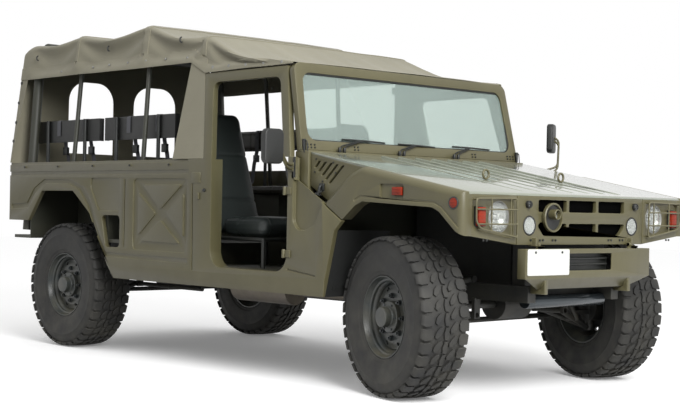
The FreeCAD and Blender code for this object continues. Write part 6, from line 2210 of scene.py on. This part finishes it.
    def rear(self) -> None:
        """The rear lamps: on each side a dark box with a red lens above an amber one."""
        boxes, reds, ambers = [], [], []
        rows = ((boxes, "box", self.rear_box, 0.005), (reds, "red", self.rear_red, 0.006),
                (ambers, "amber", self.rear_amber, 0.006))
        for side in Side:
            y = side.value * self.rear_place
            for pieces, name, (back, front, half, low, high), edge in rows:
                pieces.append(Shop.box(name, (back, y - half, low), (front, y + half, high), edge))
        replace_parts(dress(Shop.joined("rear_lamp_boxes", boxes), BLACK, Body.ROOT), "tail_lamps")
        dress(Shop.joined("rear_lamp_reds", reds), RED, Body.ROOT)
        dress(Shop.joined("rear_lamp_ambers", ambers), AMBER, Body.ROOT)


@dataclass
class Mirrors:
    """Mirror heads with rounded cases on bent tube arms with their clamps."""

    depth: Point = (1.1150, 1.1600)
    half_width: float = 0.075
    place: float = 1.330
    left_turn: float = 28.0
    tube_gap: float = 0.024
    tube_foot: Point = (1.024, 1.079, 1.312)
    tube_knee: Point = (1.100, 1.180, 1.320)
    foot_plate: Sequence[Point] = ((0.996, 1.0755, 1.298), (1.054, 1.0835, 1.354))
    bolts: Sequence[Point] = ((1.006, 1.310), (1.044, 1.310), (1.006, 1.342), (1.044, 1.342))
    levels: dict[Side, Point] = field(default_factory=lambda: {
        Side.RIGHT: (1.336, 1.544), Side.LEFT: (1.506, 1.714)})

    @staticmethod
    def along_x(a: Vector, b: Vector) -> bool:
        """Whether an edge runs along X."""
        return abs(a.x - b.x) > 0.02 and (a - b).length < abs(a.x - b.x) + 1e-4

    def build(self) -> None:
        """Makes both mirrors."""
        heads, arms, glasses = [], [], []
        for side in Side:
            low, high = self.levels[side]
            y = side.value * self.place
            case = Shop.box("case", (self.depth[0], y - self.half_width + 0.001, low),
                            (self.depth[1], y + self.half_width - 0.001, high), 0)
            corners = Shop.bevelled(case, self.along_x, 0.034, 6)
            heads.append(Shop.softened(corners, 0.010, 4))
            glasses.append(Shop.box("glass", (self.depth[0] - 0.0015, y - 0.060, low + 0.016),
                                    (self.depth[0] + 0.003, y + 0.060, high - 0.016), 0.001))
            if side is Side.LEFT:
                pivot = Matrix.Translation((sum(self.depth) / 2, y, 0))
                turn = Matrix.Rotation(math.radians(self.left_turn), 4, "Z")
                turn = pivot @ turn @ pivot.inverted()
                heads[-1].data.transform(turn)
                glasses[-1].data.transform(turn)
            middle = (low + high) / 2
            for lift in (0.0, self.tube_gap):
                foot, knee = (Vector((x, side.value * out, z + lift))
                              for x, out, z in (self.tube_foot, self.tube_knee))
                if side is Side.RIGHT:
                    route = (foot, knee, Vector((1.128, y + 0.055, middle - 0.012 + lift)),
                             Vector((1.137, y + 0.010, middle - 0.012 + lift)))
                else:
                    foot.z += 0.020
                    route = (foot, Vector((1.090, 1.280, 1.350 + lift)),
                             Vector((1.166, 1.372, 1.385 + lift)),
                             Vector((1.168, 1.378, middle - 0.040 + lift)),
                             Vector((1.150, 1.345, middle - 0.012 + lift)))
                arms.append(Shop.pipe("arm", route, 0.0075, 0.035))
            if side is Side.RIGHT:
                arms.append(Shop.rod("boss", (self.depth[1] - 0.004, y + 0.004, middle),
                                     (self.depth[1] - 0.002, y + 0.004, middle), 0.022))
            arms.append(Shop.box("foot", *Shop.ordered(side, *self.foot_plate), 0.003))
            for place in self.bolts:
                arms.append(Shop.pin("bolt", side, place, (1.083, 1.088), 0.006, 6))
        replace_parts(dress(Shop.joined("mirror_cases", heads), BLACK, Body.ROOT), "mirrors")
        dress(Shop.joined("mirror_arms", arms), OLIVE, Body.ROOT)
        dress(Shop.joined("mirror_glasses", glasses), MIRROR, Body.ROOT)


@dataclass
class Screen:
    """The windscreen's rubber seal, catches, wipers and the mirror inside."""

    foot: Point = (1.0505, 1.4800)
    head: Point = (0.9530, 1.9285)
    half: float = 0.981
    inner_round: float = 0.062
    seal_width: float = 0.020
    bolt_places: Sequence[float] = (0.925, 0.955, 0.985, 0.55, 0.58)
    bolt_heights: Point = (1.448, 1.466)
    catch_place: float = 1.018
    inside_mirror: Sequence[Point] = ((0.890, -0.075, 1.845), (0.902, 0.075, 1.890))
    stalk: Sequence[Point] = ((0.900, 0.0, 1.886), (0.925, 0.0, 1.930))
    arm_gap: float = 0.042
    spindle_foot: Point = (1.098, 1.446)
    spindles: Sequence[Sequence[float]] = (
        (-0.740, -0.680, -0.300, 1.512, 1.506), (-0.200, -0.170, 0.178, 1.505, 1.498),
        (0.330, 0.360, 0.740, 1.512, 1.506),
    )

    def on_glass(self, y: float, z: float, out: float) -> Vector:
        """A point in front of the pane."""
        share = (z - self.foot[1]) / (self.head[1] - self.foot[1])
        x = self.foot[0] + (self.head[0] - self.foot[0]) * share
        return Vector((x + out, y, z))

    def build(self) -> None:
        """Makes the seal and the fittings."""
        self.seal()
        self.wipers()
        self.catches()
        inside = Shop.box("screen_mirror", *self.inside_mirror, 0.005)
        stalk = Shop.rod("stalk", *self.stalk, 0.006)
        dress(Shop.joined("screen_mirror", [inside, stalk]), BLACK, Body.ROOT)

    def seal(self) -> None:
        """A flat rubber frame round the pane with rounded corners inside."""
        run = Vector((self.head[0] - self.foot[0], 0, self.head[1] - self.foot[1]))
        tall = run.length / 2
        outline = rectangle(-self.half, self.half, -tall, tall)
        inset = self.seal_width
        inner = [(x - math.copysign(inset, x), y - math.copysign(inset, y)) for x, y in outline]
        ring = Shop.plate("screen_seal", Plane.XY, outline, -0.006, 0.006)
        inner = Shop.eased(inner, self.inner_round)
        Shop.cut(ring, Shop.plate("tool", Plane.XY, inner, -0.02, 0.02))
        Shop.softened(ring, 0.004, 3)
        up = run.normalized()
        out = Vector((up.z, 0, -up.x))
        turn = Matrix((Vector((0, 1, 0)), up, out)).transposed().to_4x4()
        middle = Vector((self.foot[0], 0, self.foot[1])) + run / 2
        ring.data.transform(Matrix.Translation(middle) @ turn)
        dress(Shop.outward(ring), SEAL, Body.ROOT)
        Shop.smooth(ring, 40)

    def wipers(self) -> None:
        """Three wipers with twin arms, their blades resting low on the pane."""
        pieces = []
        for base, start, end, left, right in self.spindles:
            near, far = self.on_glass(start, left, 0.012), self.on_glass(end, right, 0.012)
            middle = near.lerp(far, 0.42)
            for shift in (0.0, self.arm_gap):
                foot = Vector((self.spindle_foot[0], base + shift, self.spindle_foot[1]))
                pieces.append(Shop.rod("spindle", foot - Vector((0, 0, 0.020)),
                                       foot + Vector((0, 0, 0.012)), 0.010, sides=16, edge=0.0015))
                reach = middle + Vector((0.020, -0.020 + shift * 0.6, 0))
                pieces.append(Shop.pipe("arm", (foot, foot + Vector((-0.004, 0.020, 0.022)), reach,
                                                middle + Vector((0.010, 0, 0))), 0.0045, 0.02))
            ahead = Vector((0.004, 0, 0))
            bridge = (near.lerp(far, 0.16) + ahead, middle + Vector((0.015, 0, 0)),
                      near.lerp(far, 0.80) + ahead)
            pieces.append(Shop.pipe("bridge", bridge, 0.0040, 0.05))
            crown = near.lerp(far, 0.5) + Vector((0, 0, 0.003))
            pieces.append(Shop.pipe("blade", (near, crown, far), 0.0058, 0.1))
        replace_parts(dress(Shop.joined("screen_wipers", pieces), BLACK_METAL, Body.ROOT), "wipers")

    def catches(self) -> None:
        """Clusters of bolts and the over-centre catches at the frame's lower corners."""
        bolts, catches = [], []
        for side in Side:
            for y in self.bolt_places:
                for z in self.bolt_heights:
                    place = self.on_glass(side.value * y, z, 0.006)
                    head = place + Vector((0.012, 0, 0.003))
                    bolts.append(Shop.rod("bolt", place, head, 0.0055, sides=8))
            y = side.value * self.catch_place
            catches.append(Shop.box("catch", (1.064, y - 0.010, 1.430),
                                    (1.082, y + 0.010, 1.500), 0.003))
            catches.append(Shop.pipe("loop", ((1.084, y - 0.014, 1.490), (1.092, y - 0.014, 1.415),
                                              (1.092, y + 0.014, 1.415), (1.084, y + 0.014, 1.490)),
                                     0.0035, 0.012, closed=True))
        dress(Shop.joined("screen_bolts", bolts), BLACK_METAL, Body.ROOT)
        dress(Shop.joined("screen_catches", catches), BLACK_METAL, Body.ROOT)


@dataclass
class Fittings:
    """Small fittings of the body's sides and of the clamshell."""

    half: float = BODY_HALF
    gasket: Sequence[float] = (1.046, 1.064, 1.262, 1.388)
    latch: Point = (1.238, 1.176)
    fender_bolts: Sequence[Point] = (
        (1.180, 1.374), (1.330, 1.352), (1.352, 1.290), (1.170, 1.296), (1.240, 1.240),
    )
    nose_bolts: Sequence[float] = (-0.470, -0.385, -0.270, 0.270, 0.385, 0.470, -0.880, 0.880)
    nose_bolt_x: float = 2.3925
    nose_bolt_z: float = 0.921
    nose_bolt_gap: float = 0.014
    hinge_x: float = 0.972
    hinge_heights: Point = (0.795, 1.180)
    staples: Sequence[float] = (-2.10, -1.62, -1.15, -0.68, -0.22)
    staple_height: float = 1.354
    striker: Point = (0.172, 1.182)
    post_plates: Sequence[Sequence[float]] = (
        (0.034, 0.128, 0.004, 1.229, 1.300), (0.100, 0.122, 0.010, 1.120, 1.165),
    )
    ribs: int = 8
    first_rib: float = 0.700
    rib_spacing: float = 0.040
    rib: Sequence[float] = (1.318, 1.326, 0.014, 0.590, 0.900)

    def build(self) -> None:
        """Makes the fittings of both sides."""
        dark, light, moving = [], [], []
        for side in Side:
            self.latches(side, moving)
            self.door_parts(side, dark, light)
            self.liner_ribs(side, dark)
        for y in self.nose_bolts:
            for shift in (-self.nose_bolt_gap, self.nose_bolt_gap):
                place = Vector((self.nose_bolt_x, y + shift, self.nose_bolt_z))
                head = place + Vector((0.006, 0, 0))
                moving.append(Shop.rod("bolt", place, head, 0.0065, sides=8))
        dress(Shop.joined("side_fittings_dark", dark), BLACK_METAL, Body.ROOT)
        dress(Shop.joined("side_fittings_light", light), OLIVE, Body.ROOT)
        dress(Shop.joined("clamshell_fittings", moving), BLACK_METAL, Body.HOOD)

    def latches(self, side: Side, moving: list) -> None:
        """The rubber T latch across the clamshell's cut line and the fender's small bolts."""
        out = side.value
        (x, z), y = self.latch, out * 1.0155
        moving.append(Shop.box("latch_foot", *Shop.ordered(
            side, (x - 0.020, 1.010, z + 0.006), (x + 0.020, 1.024, z + 0.052)), edge=0.003))
        route = ((x, y, z + 0.044), (x, y + out * 0.020, z + 0.030),
                 (x - 0.006, y + out * 0.024, z - 0.020))
        moving.append(Shop.pipe("latch_strap", route, 0.008, 0.015))
        moving.append(Shop.rod("latch_bar", (x - 0.034, y + out * 0.026, z - 0.016),
                               (x + 0.026, y + out * 0.026, z + 0.004), 0.0065, sides=16,
                               edge=0.001))
        for place in self.fender_bolts:
            moving.append(Shop.pin("bolt", side, place, (1.0105, 1.0165), 0.0055, 8))

    def door_parts(self, side: Side, dark: list, light: list) -> None:
        """The door opening's gasket, hinge halves, striker and the belt's small fittings."""
        out = side.value

        def block(low: Point, high: Point, edge: float = 0.002) -> bpy.types.Object:
            """A block given for the left side, on this side."""
            return Shop.box("fitting", *Shop.ordered(side, low, high), edge=edge)

        gasket = Shop.plate("gasket", Plane.XZ, rectangle(*self.gasket), out * (self.half - 0.001),
                            out * (self.half + 0.006))
        dark.append(Shop.softened(gasket, 0.003))
        for z in self.hinge_heights:
            x, y = self.hinge_x, out * (self.half + 0.005)
            light.append(Shop.rod("hinge", (x, y, z - 0.026), (x, y, z + 0.026), 0.011, sides=20,
                                  edge=0.0015))
            light.append(block((x, self.half - 0.002, z - 0.022),
                               (x + 0.058, self.half + 0.006, z + 0.022)))
        x, z = self.striker
        dark.append(Shop.ball("striker", (x, out * (self.half + 0.004), z),
                              (0.017, 0.008, 0.011)))
        for start, end, thick, low, high in self.post_plates:
            light.append(block((start, self.half - 0.002, low), (end, self.half + thick, high),
                               0.003))
        for x in self.staples:
            z = self.staple_height
            light.append(block((x - 0.028, self.half - 0.006, z - 0.010),
                               (x + 0.028, self.half + 0.002, z + 0.010)))
            dark.append(Shop.pin("stud", side, (x, z), (self.half - 0.002, self.half + 0.009),
                                 0.007, 12))

    def liner_ribs(self, side: Side, dark: list) -> None:
        """Upright ribs on the liner behind the front wheel."""
        rear, front, width, low, high = self.rib
        for index in range(self.ribs):
            y = self.first_rib + self.rib_spacing * index
            dark.append(Shop.box("rib", *Shop.ordered(
                side, (rear, y, low), (front, y + width, high)), edge=0.002))


@dataclass
class Studio:
    """Floor, light and the camera that was fitted to the photograph."""

    camera_place: Point = (7.2183, -6.6246, 1.0780)
    yaw: float = 49.0449
    pitch: float = -0.1299
    roll: float = 1.1366
    focal_pixels: float = 1362.15
    centre: Point = (268.96, 210.25)
    picture: Point = (680.0, 407.0)
    sensor: float = 36.0
    floor_size: float = 60.0
    floor_bounce: str = "5a5a58"
    floor_glow: float = 0.14
    sky: Point = (0.50, 1.00)
    lamp_place: Point = (8.0, -3.2, 5.0)
    lamp_aim: Point = (0.3, 0.0, 1.0)
    lamp_size: float = 5.0
    lamp_power: float = 900.0

    def build(self) -> None:
        """Makes everything that isn't the vehicle."""
        self.camera()
        self.floor()
        self.world()
        self.lamps()

    def camera(self) -> None:
        """Sets the camera with the fitted place, angles and lens."""
        Shop.clear()
        bpy.ops.object.camera_add(location=self.camera_place)
        camera = bpy.context.object
        yaw, pitch, roll = (math.radians(a) for a in (self.yaw, self.pitch, self.roll))
        level = math.cos(pitch)
        ahead = Vector((-math.sin(yaw) * level, math.cos(yaw) * level, math.sin(pitch)))
        right = Vector((math.cos(yaw), math.sin(yaw), 0.0))
        up = right.cross(ahead)
        across = math.cos(roll) * right + math.sin(roll) * up
        upright = -math.sin(roll) * right + math.cos(roll) * up
        turn = Matrix((across, upright, -ahead)).transposed()
        camera.matrix_world = Matrix.Translation(Vector(self.camera_place)) @ turn.to_4x4()
        width, height = self.picture
        camera.data.sensor_width = self.sensor
        camera.data.lens = self.focal_pixels / width * self.sensor
        camera.data.shift_x = (width / 2 - self.centre[0]) / width
        camera.data.shift_y = (self.centre[1] - height / 2) / width
        camera.data.clip_end = 200.0
        bpy.context.scene.camera = camera

    def see_through(self, tree: bpy.types.NodeTree) -> bpy.types.NodeSocket:
        """1 where the camera, a mirror or glass looks straight at a surface, else 0."""
        path = tree.nodes.new("ShaderNodeLightPath")
        total = path.outputs["Is Camera Ray"]
        for name in ("Is Glossy Ray", "Is Transmission Ray"):
            node = tree.nodes.new("ShaderNodeMath")
            node.operation = "MAXIMUM"
            tree.links.new(total, node.inputs[0])
            tree.links.new(path.outputs[name], node.inputs[1])
            total = node.outputs[0]
        return total

    def floor(self) -> None:
        """A plain pale floor."""
        Shop.clear()
        bpy.ops.mesh.primitive_plane_add(size=self.floor_size)
        floor = Shop.named("floor")
        material = bpy.data.materials.new("floor")
        material.use_nodes = True
        tree = material.node_tree
        shader = tree.nodes["Principled BSDF"]
        shader.inputs["Roughness"].default_value = 0.95
        shader.inputs["Specular IOR Level"].default_value = 0.1
        mix = tree.nodes.new("ShaderNodeMix")
        mix.data_type = "RGBA"
        seen = self.see_through(tree)
        tree.links.new(seen, mix.inputs[0])
        mix.inputs[6].default_value = linear(self.floor_bounce)
        mix.inputs[7].default_value = linear("ffffff")
        tree.links.new(mix.outputs[2], shader.inputs["Base Color"])
        glow = tree.nodes.new("ShaderNodeMath")
        glow.operation = "MULTIPLY"
        glow.inputs[1].default_value = self.floor_glow
        tree.links.new(seen, glow.inputs[0])
        tree.links.new(glow.outputs[0], shader.inputs["Emission Strength"])
        shader.inputs["Emission Color"].default_value = (1, 1, 1, 1)
        floor.data.materials.append(material)

    def world(self) -> None:
        """Soft white surroundings, white where they are seen."""
        world = bpy.data.worlds.new("studio")
        world.use_nodes = True
        tree = world.node_tree
        background = tree.nodes["Background"]
        place = tree.nodes.new("ShaderNodeTexCoord")
        parts = tree.nodes.new("ShaderNodeSeparateXYZ")
        tree.links.new(place.outputs["Generated"], parts.inputs[0])
        level = tree.nodes.new("ShaderNodeMapRange")
        level.inputs["From Min"].default_value = 0.0
        level.inputs["From Max"].default_value = 1.0
        level.inputs["To Min"].default_value, level.inputs["To Max"].default_value = self.sky
        tree.links.new(parts.outputs["Z"], level.inputs["Value"])
        mix = tree.nodes.new("ShaderNodeMix")
        tree.links.new(self.see_through(tree), mix.inputs[0])
        tree.links.new(level.outputs["Result"], mix.inputs[2])
        mix.inputs[3].default_value = 1.0
        tree.links.new(mix.outputs[0], background.inputs["Strength"])
        background.inputs["Color"].default_value = (1, 1, 1, 1)
        bpy.context.scene.world = world

    def lamps(self) -> None:
        """One wide soft lamp ahead of the vehicle and above it."""
        Shop.clear()
        bpy.ops.object.light_add(type="AREA", location=self.lamp_place)
        lamp = bpy.context.object
        lamp.data.shape = "DISK"
        lamp.data.size = self.lamp_size
        lamp.data.energy = self.lamp_power
        aim = Vector(self.lamp_place) - Vector(self.lamp_aim)
        lamp.rotation_euler = aim.to_track_quat("Z", "Y").to_euler()


def main() -> None:
    """Builds the studio and the vehicle, piece by piece."""
    logging.basicConfig(level=logging.INFO, format="%(name)s: %(message)s")
    scene = bpy.context.scene
    scene.view_settings.view_transform = "Standard"
    Studio().build()
    for part in (Tyre(), Rim(), Canopy(), FrontSeats(), Benches(), Lamps(), Mirrors(), BodySides(),
                 Clamshell(), Bumper(), Pressings(), Screen(), Fittings(), PlainNodes()):
        part.build()
        LOG.info("%s built", type(part).__name__)


if __name__ == "__main__":
    main()
